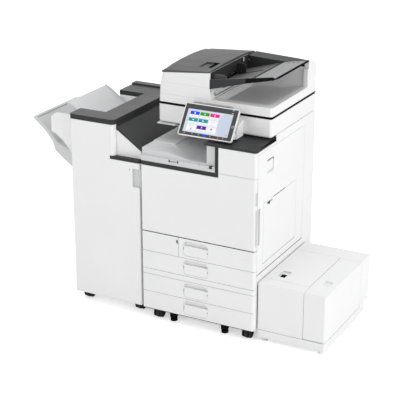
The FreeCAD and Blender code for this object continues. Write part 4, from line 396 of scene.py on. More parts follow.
PALE_GRIP = moulded_plastic("grip_grey_plastic", (0.36, 0.36, 0.37), (0.48, 0.48, 0.48), 0.42, wear=0.6)
SWITCH_GREY = moulded_plastic("switch_grey_plastic", (0.22, 0.22, 0.23), (0.32, 0.32, 0.32), 0.45, wear=0.6)
# Grey for lines of painted shade where the facets of the feeder's front meet.
FOLD_SHADE_GREY = moulded_plastic("painted_fold_shade", (0.62, 0.62, 0.63), (0.70, 0.70, 0.70), 0.6, wear=0.2)
BLACK = moulded_plastic("black_plastic", (0.010, 0.010, 0.011), (0.05, 0.05, 0.05), 0.6, wear=0.6, sheen=0.0)
TONER = moulded_plastic("toner_bottle_plastic", (0.05, 0.05, 0.055), (0.14, 0.14, 0.14), 0.32, depth=0.08)
TONER_INKS = [moulded_plastic("toner_%s_plastic" % ink, colour, rubbed, 0.4, depth=0.1) for ink, colour, rubbed in (
    ("cyan", (0.01, 0.28, 0.55), (0.1, 0.4, 0.62)), ("magenta", (0.50, 0.01, 0.17), (0.6, 0.1, 0.26)),
    ("yellow", (0.75, 0.52, 0.01), (0.8, 0.6, 0.1)), ("black", (0.02, 0.02, 0.02), (0.1, 0.1, 0.1)))]
ZINC = zinc_sheet("zinc_coated_sheet")
PLATED = plated_steel("plated_steel", (0.30, 0.30, 0.31), 0.35)
TREAD = rubber("caster_tread_rubber", (0.010, 0.010, 0.011), (0.07, 0.07, 0.07))
ROLL = rubber("feed_roll_rubber", (0.10, 0.10, 0.105), (0.20, 0.20, 0.20))
GLASS = clear_glass("float_glass")
PANEL_GLASS = black_glass("touch_panel_glass")
PAD = white_sheet_pad("white_pressure_sheet")
DISPLAY_GROUND = display_ground("display_background")
LIT = {name: lit_glass("display_" + name, colour) for name, colour in {
    "white": (0.97, 0.97, 0.98), "grey": (0.52, 0.54, 0.58), "faint": (0.60, 0.60, 0.63), "ink": (0.16, 0.16, 0.18),
    "blue": (0.016, 0.085, 0.93), "green": (0.025, 0.37, 0.006), "pink": (0.86, 0.020, 0.33),
    "teal": (0.008, 0.32, 0.37), "purple": (0.11, 0.018, 0.37), "orange": (0.85, 0.35, 0.05)}.items()}
RED_LAMP = lit_glass("lamp_red", (0.85, 0.06, 0.03))
BLUE_LAMP = lit_glass("lamp_blue", (0.12, 0.5, 0.95))
BEZEL_MARK = moulded_plastic("bezel_print", (0.48, 0.48, 0.49), (0.5, 0.5, 0.5), 0.3, depth=0.05, wear=0.2)


# ---------------- working a mesh as by hand

# Blender's lengths are metres. From here on, lengths are written in millimetres, and the functions of this
# section turn them into metres as they call Blender.

MM = 0.001
CREASE = 40  # degrees between faces from which an edge is rounded
SMOOTH = 35  # degrees between faces up to which shading is smooth
Sides = namedtuple("Sides", "left front low right back high")


def metres(lengths):
    return [length * MM for length in lengths]


def sides(node):
    """The six outer faces of a frame part."""
    low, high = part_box(node)
    return Sides(*(length / MM for length in (*low, *high)))


def only(piece):
    """Makes piece the one selected and active object."""
    bpy.ops.object.select_all(action="DESELECT")
    piece.select_set(True)
    bpy.context.view_layer.objects.active = piece


def edit(piece):
    """Opens a piece for editing with all of its faces selected."""
    only(piece)
    bpy.ops.object.mode_set(mode="EDIT")
    bpy.ops.mesh.select_mode(type="FACE")
    bpy.ops.mesh.select_all(action="SELECT")


def done_editing():
    bpy.ops.object.mode_set(mode="OBJECT")


def pick(piece, test):
    """Opens a piece for editing with the faces selected whose middle and normal pass the test."""
    edit(piece)
    bpy.ops.mesh.select_all(action="DESELECT")
    done_editing()
    for face in piece.data.polygons:
        face.select = test(face.center / MM, face.normal)
    bpy.ops.object.mode_set(mode="EDIT")


def apply_modifier(piece, kind, **settings):
    only(piece)
    step = piece.modifiers.new(kind.lower(), kind)
    for key, value in settings.items():
        setattr(step, key, value)
    bpy.ops.object.modifier_apply(modifier=step.name)


def soften(piece, width, steps=2):
    """Rounds a piece's creased edges."""
    apply_modifier(piece, "BEVEL", width=width * MM, segments=steps, limit_method="ANGLE",
                   angle_limit=math.radians(CREASE))


def settled(name):
    """The primitive just added, named, with its place and size in its mesh."""
    piece = bpy.context.object
    piece.name = name
    bpy.ops.object.transform_apply(location=True, rotation=True, scale=True)
    return piece


def block(name, low, high, rounding, steps=2, at=(0, 0, 0)):
    """A block with rounded edges between two corners that are given from a place."""
    bpy.ops.object.select_all(action="DESELECT")
    low, high = (tuple(map(sum, zip(at, corner))) for corner in (low, high))
    middle = [(first + last) / 2 for first, last in zip(low, high)]
    span = [last - first for first, last in zip(low, high)]
    bpy.ops.mesh.primitive_cube_add(size=1, location=metres(middle), scale=metres(span))
    piece = settled(name)
    soften(piece, rounding, steps)
    return piece


TURNS = {"X": (0, math.pi / 2, 0), "Y": (math.pi / 2, 0, 0), "Z": (0, 0, 0)}


def disc(name, middle, axis, radius, thick, rounding, corners=32, steps=2):
    """A round plate about an axis with a rounded rim."""
    bpy.ops.object.select_all(action="DESELECT")
    bpy.ops.mesh.primitive_cylinder_add(vertices=corners, radius=radius * MM, depth=thick * MM,
                                        location=metres(middle), rotation=TURNS[axis])
    piece = settled(name)
    soften(piece, rounding, steps)
    return piece


def plate(name, left, low, right, high, corner, thick, lift):
    """A flat plate with rounded corners that lies on XY at a height of lift."""
    bpy.ops.object.select_all(action="DESELECT")
    bpy.ops.mesh.primitive_plane_add(size=1, location=metres(((left + right) / 2, (low + high) / 2, lift)))
    piece = bpy.context.object
    piece.scale = (*metres((right - left, high - low)), 1)
    settled(name)
    edit(piece)
    bpy.ops.mesh.bevel(offset=corner * MM, segments=4, affect="VERTICES")
    bpy.ops.mesh.select_all(action="SELECT")
    bpy.ops.mesh.extrude_region_move(TRANSFORM_OT_translate={"value": (0, 0, thick * MM)})
    bpy.ops.mesh.select_all(action="SELECT")
    bpy.ops.mesh.normals_make_consistent(inside=False)
    done_editing()
    return piece


def twin(piece, name, step):
    """A copy of a piece with its own mesh, moved by a step."""
    only(piece)
    bpy.ops.object.duplicate()
    copy = bpy.context.object
    copy.name = name
    bpy.ops.transform.translate(value=metres(step))
    bpy.ops.object.transform_apply(location=True, rotation=False, scale=False)
    return copy


def join(name, pieces):
    """One piece of several, each keeping its own finish."""
    only(pieces[0])
    for piece in pieces:
        piece.select_set(True)
    bpy.ops.object.join()
    pieces[0].name = name
    return pieces[0]


def place_flat(piece, placed):
    """Takes a piece modelled flat on XY to its place, and leaves its object at the origin."""
    only(piece)
    piece.matrix_world = placed
    bpy.ops.object.transform_apply(location=True, rotation=True, scale=False)
    return piece


def stand(piece, corner):
    """Stands a plate that lies on XY upright, its lower left back corner at a place."""
    return place_flat(piece, Matrix.Translation(metres(corner)) @ Matrix.Rotation(math.pi / 2, 4, "X"))


def smooth_rounds(piece):
    """Smooth shading over rounds, with flats kept flat."""
    only(piece)
    bpy.ops.object.shade_smooth_by_angle(angle=math.radians(SMOOTH))
    apply_modifier(piece, "WEIGHTED_NORMAL", mode="FACE_AREA_WITH_ANGLE", keep_sharp=True)


def coat(piece, finish):
    """Gives a whole piece one finish."""
    piece.data.materials.clear()
    piece.data.materials.append(finish)
    return piece


def paint(piece, finish, test):
    """Gives another finish to the faces whose middle and normal pass the test."""
    piece.data.materials.append(finish)
    for face in piece.data.polygons:
        if test(face.center / MM, face.normal):
            face.material_index = len(piece.data.materials) - 1


def pull(piece, test, step):
    """Moves the corners of a piece that pass the test."""
    edit(piece)
    bpy.ops.mesh.select_mode(type="VERT")
    bpy.ops.mesh.select_all(action="DESELECT")
    done_editing()
    for corner in piece.data.vertices:
        corner.select = test(corner.co / MM)
    bpy.ops.object.mode_set(mode="EDIT")
    bpy.ops.transform.translate(value=metres(step))
    bpy.ops.mesh.select_mode(type="FACE")
    done_editing()


def score(piece, point, normal):
    """Divides a piece's faces along a plane, so that a band of it can be painted."""
    edit(piece)
    bpy.ops.mesh.bisect(plane_co=metres(point), plane_no=normal)
    done_editing()


def add(piece, body, finish=None):
    """Lets a modelled piece ride on a body, in its finish."""
    if finish:
        coat(piece, finish)
    smooth_rounds(piece)
    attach(piece, body)
    return piece


# ---------------- the frame's parts, welded and finished

def dress(node, finish, body, lines=()):
    """A welded copy of a frame part stands for it, divided along some planes, with its rounds shaded smooth."""
    part = nodes[node]
    piece = part.copy()
    piece.data = part.data.copy()
    piece.name = node + "_finished"
    for key in list(piece.keys()):
        del piece[key]
    piece.parent = None
    bpy.context.scene.collection.objects.link(piece)
    only(piece)
    bpy.ops.mesh.customdata_custom_splitnormals_clear()
    edit(piece)
    bpy.ops.mesh.remove_doubles(threshold=0.01 * MM)
    done_editing()
    for point, normal in lines:
        score(piece, point, normal)
    smooth_rounds(piece)
    coat(piece, finish)
    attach(piece, body)
    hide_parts(node)
    return piece


UP, RIGHT, BACK = (0, 0, 1), (1, 0, 0), (0, 1, 0)
unit = sides("drawer_4_front")  # the main unit's front, as wide as the machine
feeder = sides("feeder_body")
cover = sides("feeder_cover")
scanner = sides("scanner_body")
tray = sides("input_tray")
door = sides("right_door")
bypass = sides("bypass_tray")
lid = sides("side_unit_lid")
side_cover = sides("side_unit_cover")
side_unit = sides("side_unit_housing")
bay = sides("inner_tray")
finisher_front = sides("finisher_door")
rear_cover = sides("rear_cover")

feeder_floor = scanner.low + 91  # underside of the feeder's moulding
mouth_wall = cover.right + 2  # right face of the feeder block, over the tray
feeder_face = scanner.front
# Painted shadow: the feeder's foot is black from its underside up to this height, for the shade of the gap over the
# scanner.
foot_shade_top = feeder_floor + 8  # top of the dark band round the feeder's foot
# Heights of two grey lines on the feeder's front, painted shade where its facets meet.
fold_shade_bands = ((feeder_floor + 45, feeder_floor + 46.2), (feeder_floor + 101, feeder_floor + 102))
outer_half = tray.left + 178  # where the document tray's rimmed half starts
recess = cover.right - 50  # left edge of the finger recess in the feeder's lid
# Heights of a grey line painted as shade under the side unit's front panels.
side_seam_shade = (side_cover.low - 2.6, side_cover.low - 0.6)

SCORES = {
    "feeder_body": [((0, 0, foot_shade_top), UP), ((0, feeder_face + 9, 0), BACK)]
                   + [((0, 0, edge), UP) for seam in fold_shade_bands for edge in seam],
    "feeder_cover": [((recess, 0, 0), RIGHT)],
    "input_tray": [((outer_half, 0, 0), RIGHT)],
    "side_unit_housing": [((0, 0, edge), UP) for edge in side_seam_shade],
}

FINISHES = {
    "white_cover": WHITE, "dark_trim": CHARCOAL, "light_inner": PALE, "frame_sheet": ZINC, "clear_glass": GLASS,
    "panel_glass": PANEL_GLASS, "white_pad": PAD, "soft_roll": ROLL, "caster_tread": TREAD, "caster_steel": PLATED,
    "toner_plastic": TONER, "black_plastic": BLACK,
}
BY_NODE = {
    "right_door_latch": ("white_cover", WHITE), "power_switch": ("light_inner", SWITCH_GREY),
    "feeder_cover": ("dark_trim", COVER_GREY), "finisher_top_cover": ("dark_trim", COVER_GREY),
}
REMADE = ("front_fence", "rear_fence")  # modelled anew below
slots = {row["node"]: row["material_slot"] for row in frame["record"]["subparts"]}
finished = {}
body_of = {}
for body, members in frame["record"]["behaviour"]["bodies"].items():
    for node in members:
        body_of[node] = body
        if node not in REMADE:
            slot, finish = BY_NODE.get(node, (slots[node], FINISHES[slots[node]]))
            finished[node] = dress(node, finish, body, SCORES.get(node, ()))


# ---------------- painted faces

def upright(out):
    """Whether a face that looks out this way is nearer upright than level."""
    return abs(out.z) < 0.5


def in_fold_shade(height):
    """Whether a height lies in one of the grey lines painted as shade where the feeder's front folds."""
    return any(low < height < high for low, high in fold_shade_bands)


PAINTED = (
    # Painted shadow: a black band round the feeder's foot, for the shade of the gap over the scanner.
    ("feeder_body", BLACK, lambda at, out: feeder_floor - 1 < at.z < foot_shade_top and out.z < 0.5),
    ("feeder_body", CHARCOAL, lambda at, out: out.x > 0.9 and abs(at.x - mouth_wall) < 3
     and at.z > feeder_floor + 90 and at.y > feeder_face + 9),
    # Painted shade: grey lines where the facets of the feeder's front meet.
    ("feeder_body", FOLD_SHADE_GREY, lambda at, out: upright(out) and in_fold_shade(at.z) and at.x < mouth_wall - 2
     and at.y < tray.back - 90),
    # Black inside the feeder under its lid: the roller well's own dark plastic, and painted shade inside the mouth
    # over the tray.
    ("feeder_body", BLACK, lambda at, out: cover.left + 13 < at.x < mouth_wall - 0.5
     and feeder_face + 21 < at.y < cover.back - 11 and tray.low < at.z < cover.low - 3),
    ("feeder_body", PALE_GRIP, lambda at, out: at.y < feeder_face - 0.5 and at.z < feeder_floor + 40),
    # Painted shade: black on the right part of the finger recess in the feeder's lid, its floor and rear wall, for
    # the dark slot there.
    ("feeder_cover", BLACK, lambda at, out: recess < at.x < recess + 33 and at.z < cover.high - 4
     and feeder_face + 60 < at.y < feeder_face + 152 and (out.z > 0.9 or out.y < -0.9)),
    # Painted reflection: the up-facing faces of the tray's inner half are lighter grey than its sides.
    ("input_tray", TRAY_TOP_SHEEN, lambda at, out: out.z > 0.5 and at.x < outer_half and at.y < tray.back - 96),
    # Black on the outer half's upright faces, the tray's own dark plastic, and on the walls of the groove between
    # the halves as painted shade.
    ("input_tray", BLACK, lambda at, out: at.x > outer_half - 0.1 and abs(out.z) < 0.7
     or abs(out.x) > 0.9 and outer_half - 0.1 < at.x < outer_half + 4),
    ("exit_trim", BLACK, lambda at, out: upright(out) and at.z > bay.high - 12),
    # Painted shade: the finisher cap's sides are darker than its top, which keeps the lighter grey.
    ("finisher_top_cover", CHARCOAL, lambda at, out: upright(out)),
    ("leveling_feet", WHITE, lambda at, out: at.x > unit.right),
    # Painted shade: a grey line under the side unit's front panels.
    ("side_unit_housing", SWITCH_GREY, lambda at, out: out.y < -0.9 and at.x < side_cover.left
     and side_seam_shade[0] < at.z < side_seam_shade[1]),
    # Painted shade: the floor of the finger recess in the finisher door is pale grey.
    ("finisher_door", PALE, lambda at, out: out.y < -0.9
     and finisher_front.front + 8 < at.y < finisher_front.front + 16),
    # Painted shade: the walls of the finger cup in the side unit's lid are pale grey.
    ("side_unit_lid", PALE, lambda at, out: upright(out) and at.x < lid.left + 100
     and lid.front + 20 < at.y < lid.back - 100 and at.z > lid.high - 8),
    # Painted shade: the floors of the right door's vent slots are black.
    ("right_door", BLACK, lambda at, out: out.x > 0.9 and door.right - 4 < at.x < door.right - 2
     and at.y < door.front + 30),
    # Painted shade: faces inside the vent slots on the front door's right side are grey and pale grey.
    ("front_door", SWITCH_GREY, lambda at, out: out.x > 0.9 and unit.right - 5.5 < at.x < unit.right - 4),
    ("front_door", PALE, lambda at, out: out.x > 0.9 and unit.right - 6.5 < at.x < unit.right - 5.5),
    ("bypass_tray", BLACK, lambda at, out: out.x > 0.9 and door.right - 6 < at.x < door.right - 2
     and at.z > bypass.high - 15),
)
for node, finish, test in PAINTED:
    paint(finished[node], finish, test)


# ---------------- control panel

def panel_axes():
    """How the panel's glass lies, in metres: its turn, and its lower left corner."""
    mesh = nodes["panel_screen"].data
    front = max(mesh.polygons, key=lambda face: face.area * (face.normal.y < -0.5))
    out, along = front.normal.normalized(), Vector((1, 0, 0))
    up = out.cross(along)
    on_front = mesh.vertices[front.vertices[0]].co
    corners = [point.co for point in mesh.vertices if abs((point.co - on_front).dot(out)) < 0.0001]
    corner = min(corners, key=lambda point: point.dot(along) + point.dot(up))
    return Matrix((along, up, out)).transposed().to_4x4(), corner.copy()


PANEL_TURN, PANEL_CORNER = panel_axes()
DISPLAY = (16, 14, 240.5, 122.5)
TILE_WIDE, TILE_PITCH, TILE_FIRST = 46, 50, 30.8
ROW_PITCH, ROW_TOP, BAND_HIGH, LABEL_HIGH = 32, 113.4, 16, 12
MENU = (("blue", "green", "pink"), ("teal", "teal", None), (None, "purple", None))
LINES = ((-12, 3, 12, 3.8), (-12, 0, 8, 0.8), (-12, -3, 10, -2.2))
SIGNS = (  # name, column, row, colour, plates from its middle
    ("picture", 0, 0, "white", ((-3.5, -4, 1.5, 4), (2.2, -4, 3.5, 2))),
    ("picture", 1, 0, "white", ((-3, -3, 3, 1), (-1.2, 1.6, 1.2, 4))),
    ("picture", 2, 0, "white", ((-4, -1, 4, 1), (-1, -4, 1, 4))),
    ("picture", 0, 1, "white", ((-4, -2.5, 4, 2.5),)),
    ("picture", 1, 1, "white", ((-4, -3, 0, 3), (1, -3, 4, 0))),
    ("picture", 1, 2, "white", ((-1, -4, 1.2, 4), (1.8, 0, 4, 4))),
    ("lines", 2, 1, "grey", LINES),
    ("lines", 0, 2, "grey", LINES),
    ("lock", 0, 2, "ink", ((-2.5, -14, 2.5, -9), (-1.5, -9, 1.5, -7))),
    ("gear", 2, 2, "blue", ((-4, -5, 3, 2),)),
    ("spark", 2, 2, "orange", ((-4, 1, 1, 5), (1.5, -1, 4, 3))),
)
KEYS = (  # name, finish, outline, corner, thickness
    ("home_key", LIT["blue"], (119, 3, 136, 14), 3, 0.35),
    ("data_lamp", BLUE_LAMP, (231, 139.5, 242, 143.5), 1.2, 0.3),
    ("light_sensor", PALE, (232, 125.5, 239, 129.5), 1.2, 0.2),
)
ROUNDS = (  # name, finish, middle, radius, thickness
    ("return_mark", BEZEL_MARK, (252.5, 67, 0.1), 6, 0.2),
    ("return_mark_middle", PANEL_GLASS, (252.5, 67, 0.2), 3.6, 0.2),
    ("stop_lamp", RED_LAMP, (195.7, 7.6, 0.1), 4.2, 0.3),
    ("alert_lamp", RED_LAMP, (20, 4.5, 0.1), 2.6, 0.3),
)


def tile(name, left, top, colour):
    """A menu tile: a coloured band over a white label, or all white."""
    right = left + TILE_WIDE
    label = plate(name + "_label", left, top - BAND_HIGH - LABEL_HIGH, right, top, corner=1.5, thick=0.08, lift=0.26)
    made = [coat(label, LIT["white"])]
    if colour:
        band = plate(name + "_band", left, top - BAND_HIGH, right, top, corner=1.5, thick=0.08, lift=0.34)
        made.append(coat(band, LIT[colour]))
    return made


def menu():
    """The tiles of the lit display with their pictures and captions."""
    made = []
    for row, line in enumerate(MENU):
        top = ROW_TOP - ROW_PITCH * row
        for column, colour in enumerate(line):
            place = "%d_%d" % (row, column)
            left = TILE_FIRST + TILE_PITCH * column
            made += tile("tile_" + place, left, top, colour)
            caption = plate("caption_" + place, left + 10, top - BAND_HIGH - 8.4, left + 36, top - BAND_HIGH - 6.4,
                            corner=0.4, thick=0.05, lift=0.36)
            made.append(coat(caption, LIT["faint"]))
    for name, column, row, colour, plates in SIGNS:
        across = TILE_FIRST + TILE_PITCH * column + TILE_WIDE / 2
        middle = ROW_TOP - ROW_PITCH * row - BAND_HIGH / 2
        for index, (left, low, right, high) in enumerate(plates):
            mark = plate("%s_%d_%d_%d" % (name, row, column, index), across + left, middle + low,
                         across + right, middle + high, corner=0.35, thick=0.06, lift=0.44)
            made.append(coat(mark, LIT[colour]))
    return made


def control_panel():
    """The lit display with its menu, the marks on the bezel and the lamps."""
    shown = menu()
    for index, left in enumerate((20, 232)):
        arrow = disc("page_arrow_%d" % index, (left + 3, 67.5, 0.3), "Z", radius=3.4, thick=0.1,
                     rounding=0.02, corners=3)
        shown.append(coat(arrow, LIT["grey"]))
    picture = plate("tray_picture", 226, 21, 235, 29, corner=1, thick=0.06, lift=0.26)
    ground = plate("display_light", *DISPLAY, corner=0.6, thick=0.2, lift=0.05)
    shown += [coat(picture, LIT["grey"]), coat(ground, DISPLAY_GROUND)]
    marks = [coat(disc(name, middle, "Z", radius, thick, rounding=0.05), finish)
             for name, finish, middle, radius, thick in ROUNDS]
    marks += [coat(plate(name, *outline, corner, thick, lift=0.02), finish)
              for name, finish, outline, corner, thick in KEYS]
    for index, middle in enumerate((28, 66, 100, 156, 221)):
        mark = plate("bezel_mark_%d" % index, middle - 3, 6.5, middle + 3, 9.5, corner=1, thick=0.1, lift=0.02)
        marks.append(coat(mark, BEZEL_MARK))
    glass_place = Matrix.Translation(PANEL_CORNER) @ PANEL_TURN
    for name, pieces in (("display", shown), ("bezel_marks", marks)):
        add(place_flat(join(name, pieces), glass_place), "panel")


control_panel()


# ---------------- document feeder

def shade_feeder_gap():
    """Black strips round the underside of the feeder, over the scanner's top: painted shade that darkens the gap
    between them.
    """
    inset, wide = 2.5, 7
    left, right = feeder.left + inset, unit.right - inset
    front, back = feeder_face + inset, tray.back - 14
    low, high = scanner.low + 87.3, feeder_floor
    strips = [((left, front, low), (right, front + wide, high)), ((left, front, low), (left + wide, back, high)),
              ((right - wide, front, low), (right, back, high))]
    pieces = [block("feeder_seal_%d" % index, *ends, 0.6) for index, ends in enumerate(strips)]
    # Painted shade: black in the gap between the feeder and the scanner.
    add(join("feeder_gap_shade", pieces), "feeder", BLACK)


def tail_cover():
    """Dark moulding over the feeder's tail, from its lid to the tray's rim."""
    low, high = feeder_floor + 142.2, feeder_floor + 165
    front, upper = cover.back + 0.8, (low + high) / 2
    piece = block("feeder_tail_cover", (cover.left, front, low), (mouth_wall - 9, tray.back, high), 3, steps=3)
    pull(piece, lambda at: at.y < front + 6 and at.z > upper, (0, 0, 12))
    pull(piece, lambda at: at.x < cover.left + 6 and at.z > upper, (0, 0, -16))
    add(piece, "feeder", COVER_GREY)


def exit_flap():
    """The white curtain over the originals' exit and, beside it, a small black block that stands in for the shade in
    a notch.
    """
    mouth = (mouth_wall, feeder_face, feeder_floor)
    flap = block("exit_flap", (3, 48, 61), (4.6, 362, 75), 0.6, at=mouth)
    pull(flap, lambda at: at.z < feeder_floor + 66, (3.2, 0, 0))
    add(flap, "feeder", WHITE)
    # Painted shade: a black block for the dark notch beside the exit.
    add(block("exit_mark", (0, 8, 81), (3, 14, 87), 0.5, at=mouth), "feeder", BLACK)


def feeder_corner():
    """Rolls the feeder's rear right post down towards the back, past the tray's end."""
    head = finished["feeder_body"]
    post, top = tray.right - 23, feeder_floor + 153
    for back, drop in ((68, 1), (46, 3), (24, 8)):
        score(head, (0, tray.back - back, 0), BACK)
        pull(head, lambda at: at.z > top and abs(at.y - tray.back + back) < 0.5 and at.x > post, (0, 0, -drop))
    pull(head, lambda at: at.z > top and at.y > tray.back - 2 and at.x > post, (0, 0, -19))
    pull(head, lambda at: at.z > top - 17 and at.y > tray.back - 2 and at.x > tray.right - 2, (0, 0, -9))


TRAY_BEND = 175  # where the document tray's floor turns less steep
STEEP, GENTLE = 0.28, 0.178  # its rise before and after that


def tray_slope(across):
    """Height of the document tray's floor at a distance to the right of its left edge."""
    if across < TRAY_BEND:
        return feeder_floor + 101 + across * STEEP
    return feeder_floor + 150 + (across - TRAY_BEND) * GENTLE


def sloping(name, first, last, front, back, thick, rounding):
    """A flat panel that lies on the tray's floor between two stations."""
    low = tray_slope(first) + 0.1
    rise = tray_slope(last) - tray_slope(first)
    piece = block(name, (tray.left + first, front, low), (tray.left + last, back, low + thick), rounding)
    pick(piece, lambda at, out: at.x > tray.left + last - rounding * 1.2)
    bpy.ops.transform.translate(value=(0, 0, rise * MM))
    done_editing()
    return piece


def tray_details():
    """The middle of the tray's outer half, painted lighter grey as a reflection of the pale surroundings, its slots
    and the size marks beside the guides.
    """
    front, back = tray.front, tray.back
    # Painted reflection: a lighter grey panel over the middle of the outer half.
    middle = sloping("tray_reflection_patch", 187, 299, front + 12, back - 92, thick=0.9, rounding=0.3)
    pull(middle, lambda at: at.x > tray.left + 290 and at.y < front + 30, (0, 38, 0))
    add(middle, "input_tray_body", TRAY_REFLECTION_GREY)
    # Painted shade: black strips along the groove between the tray's halves.
    dark = [sloping("tray_seam_%d" % index, first, last, front + 10, back - 92, thick=0.6, rounding=0.1)
            for index, (first, last) in enumerate(((170, 174.6), (181, 183.4)))]
    dark.append(sloping("tray_edge", 300.5, 309, front + 8, back - 80, thick=0.8, rounding=0.3))
    dark += [sloping("tray_slot_%d" % first, first, first + 12, back - 124, back - 116, thick=1.3, rounding=0.2)
             for first in (214, 238, 262)]
    add(join("tray_slots", dark), "input_tray_body", BLACK)
    ticks = []
    for index, station in enumerate(range(60, 168, 18)):
        long = 26 if index % 2 else 16
        ticks.append(sloping("size_mark_%d" % index, station, station + 1.2, front + 86, front + 86 + long,
                             thick=0.25, rounding=0.05))
    add(join("size_marks", ticks), "input_tray_body", PALE)
    tab = block("mouth_tab", (1, 340, 52), (4, 350, 70), 1, at=(tray.left, front, tray.low))
    add(tab, "feeder", PALE)


def tray_corner():
    """Draws the tray's front right corner back in steps, so that its end narrows."""
    for station in range(220, 310, 10):
        pull(finished["input_tray"], lambda at: at.x > tray.left + station and at.y < tray.front + 75, (0, 4.6, 0))


def document_guide(node, finish, face, foot_reach, long, tall):
    """A side guide: a rounded fin at the mouth, a foot on the tray and a thumb rib."""
    guide = sides(node)
    left, low, back_of_fin = tray.left + 3.5, tray_slope(20) - 3, face - 2.5
    fin = stand(plate(node + "_fin", 0, 0, long, tall, corner=16, thick=5, lift=0), (left, face, low))
    soften(fin, 0.8)
    near, far = sorted((back_of_fin, face + foot_reach))
    foot = sloping(node + "_foot", 30, guide.right - tray.left, near, far, thick=2, rounding=0.6)
    near, far = sorted((back_of_fin, face + foot_reach * 0.4))
    rib = block(node + "_rib", (0, near, 8), (4, far, tall - 5), 1, at=(left + long * 0.5, 0, low))
    piece = add(join(node + "_finished", [fin, foot, rib]), body_of[node], finish)
    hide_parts(node)


shade_feeder_gap()
tail_cover()
exit_flap()
feeder_corner()
tray_details()
tray_corner()
document_guide("front_fence", COVER_GREY, sides("front_fence").front, foot_reach=16, long=68, tall=58)
document_guide("rear_fence", GUIDE_BLACK, sides("rear_fence").back - 48, foot_reach=-14, long=50, tall=56)


# ---------------- drawers and seams

def grip(number):
    """A drawer's moulded grip: a rounded basin with a broad handle across its lower part, and dark blocks at the
    handle's ends as painted shade in the gaps beside it.
    """
    front = sides("drawer_%d_front" % number)
    body = "drawer_%d" % number
    face, left, middle = unit.front, unit.left + 219.25, (front.low + front.high) / 2
    wide, half_high, inset, depth, rounding = 130, 37, 0.3, 15, 14
    right, low, high = left + wide, middle - half_high, middle + half_high
    basin = block("grip_basin_%d" % number, (left + inset, face - depth, low + inset),
                  (right - inset, face + depth, high - inset), rounding, steps=6)
    edit(basin)
    bpy.ops.mesh.bisect(plane_co=metres((0, face + 0.4, 0)), plane_no=(0, -1, 0), clear_outer=True)
    bpy.ops.mesh.select_all(action="SELECT")
    bpy.ops.mesh.flip_normals()
    done_editing()
    gap = 0.8
    handle = plate("grip_handle_%d" % number, 0, 0, wide - 2 * gap, middle + 7 - low - gap, corner=19,
                   thick=9, lift=0)
    stand(handle, (left + gap, face + 9.6, low + gap))
    soften(handle, 3, steps=4)
    # Painted shade: dark blocks in the gaps at the handle's ends.
    shade = [block("grip_end_%d_%d" % (number, side), (-1, 0.1, -9), (1, 2, rise), 0.9, at=(end, face, middle))
             for side, end, rise in ((0, left + 3.4, 8), (1, right - 3.2, 0))]
    add(join("grip_ends_%d" % number, shade), body, CHARCOAL)
    add(basin, body, WHITE)
    add(handle, body, WHITE)


for number in (1, 2, 3, 4):
    grip(number)


def seam_shades():
    """Black strips set back in the seams of the front, under it and beside the side unit: painted shade that darkens
    these gaps.
    """
    half_gap, half = 0.75, 0.45  # of a seam between two fronts, and of its strip
    front, back = unit.front + 0.3, unit.front + 3.3
    left, right = unit.left + 4, unit.right - 6
    first = sides("drawer_1_front")
    seams = [sides(upper).low - half_gap for upper in ("drawer_3_front", "drawer_2_front", "front_door")]
    seams += [sides("drawer_3_front").high + half_gap, first.low - half_gap]
    upright_seam = first.left - half_gap
    # Painted shade: black strips in the seams, under the front and beside the side unit.
    strips = [("seam_%d" % index, (left, front, seam - half), (right, back, seam + half), 0.1)
              for index, seam in enumerate(seams)]
    strips += [
        ("seam_upright", (upright_seam - half, front, first.low), (upright_seam + half, back, first.high), 0.1),
        ("seam_floor", (left, front + 1.2, unit.low - 4), (right, back, unit.low - 0.6), 0.3),
        ("seam_side", (unit.right + 0.8, side_unit.front + 1.5, side_cover.low),
         (lid.left - 0.8, side_unit.front + 6, lid.low - 2), 0.3),
        ("seam_side_front", (side_cover.left - 1.7, side_cover.front + 1.2, side_cover.low),
         (side_cover.left - 0.3, side_cover.front + 4, lid.low - 2), 0.1),
        ("seam_side_top", (side_cover.left - 1.7, side_cover.front + 3, lid.high - 4),
         (side_cover.left - 0.3, lid.back - 6, lid.high - 0.9), 0.1)]
    made = [block(*strip, steps=1) for strip in strips]
    lock = (first.left - 9.5, unit.front, first.high)
    made += [block("lock_mark_%d" % index, (left_of, -0.2, -33), (left_of + 2.2, 1, -16), 0.3, at=lock)
             for index, left_of in enumerate((0, 4.2))]
    add(join("seam_seals", made), "base", BLACK)
    shoulder = block("scanner_shoulder", (unit.right - 4, unit.front + 208, scanner.low - 1.5),
                     (unit.right - 0.6, scanner.back - 22, scanner.low + 2.5), 0.2, steps=1)
    add(shoulder, "base", WHITE)


seam_shades()


# ---------------- paper exit

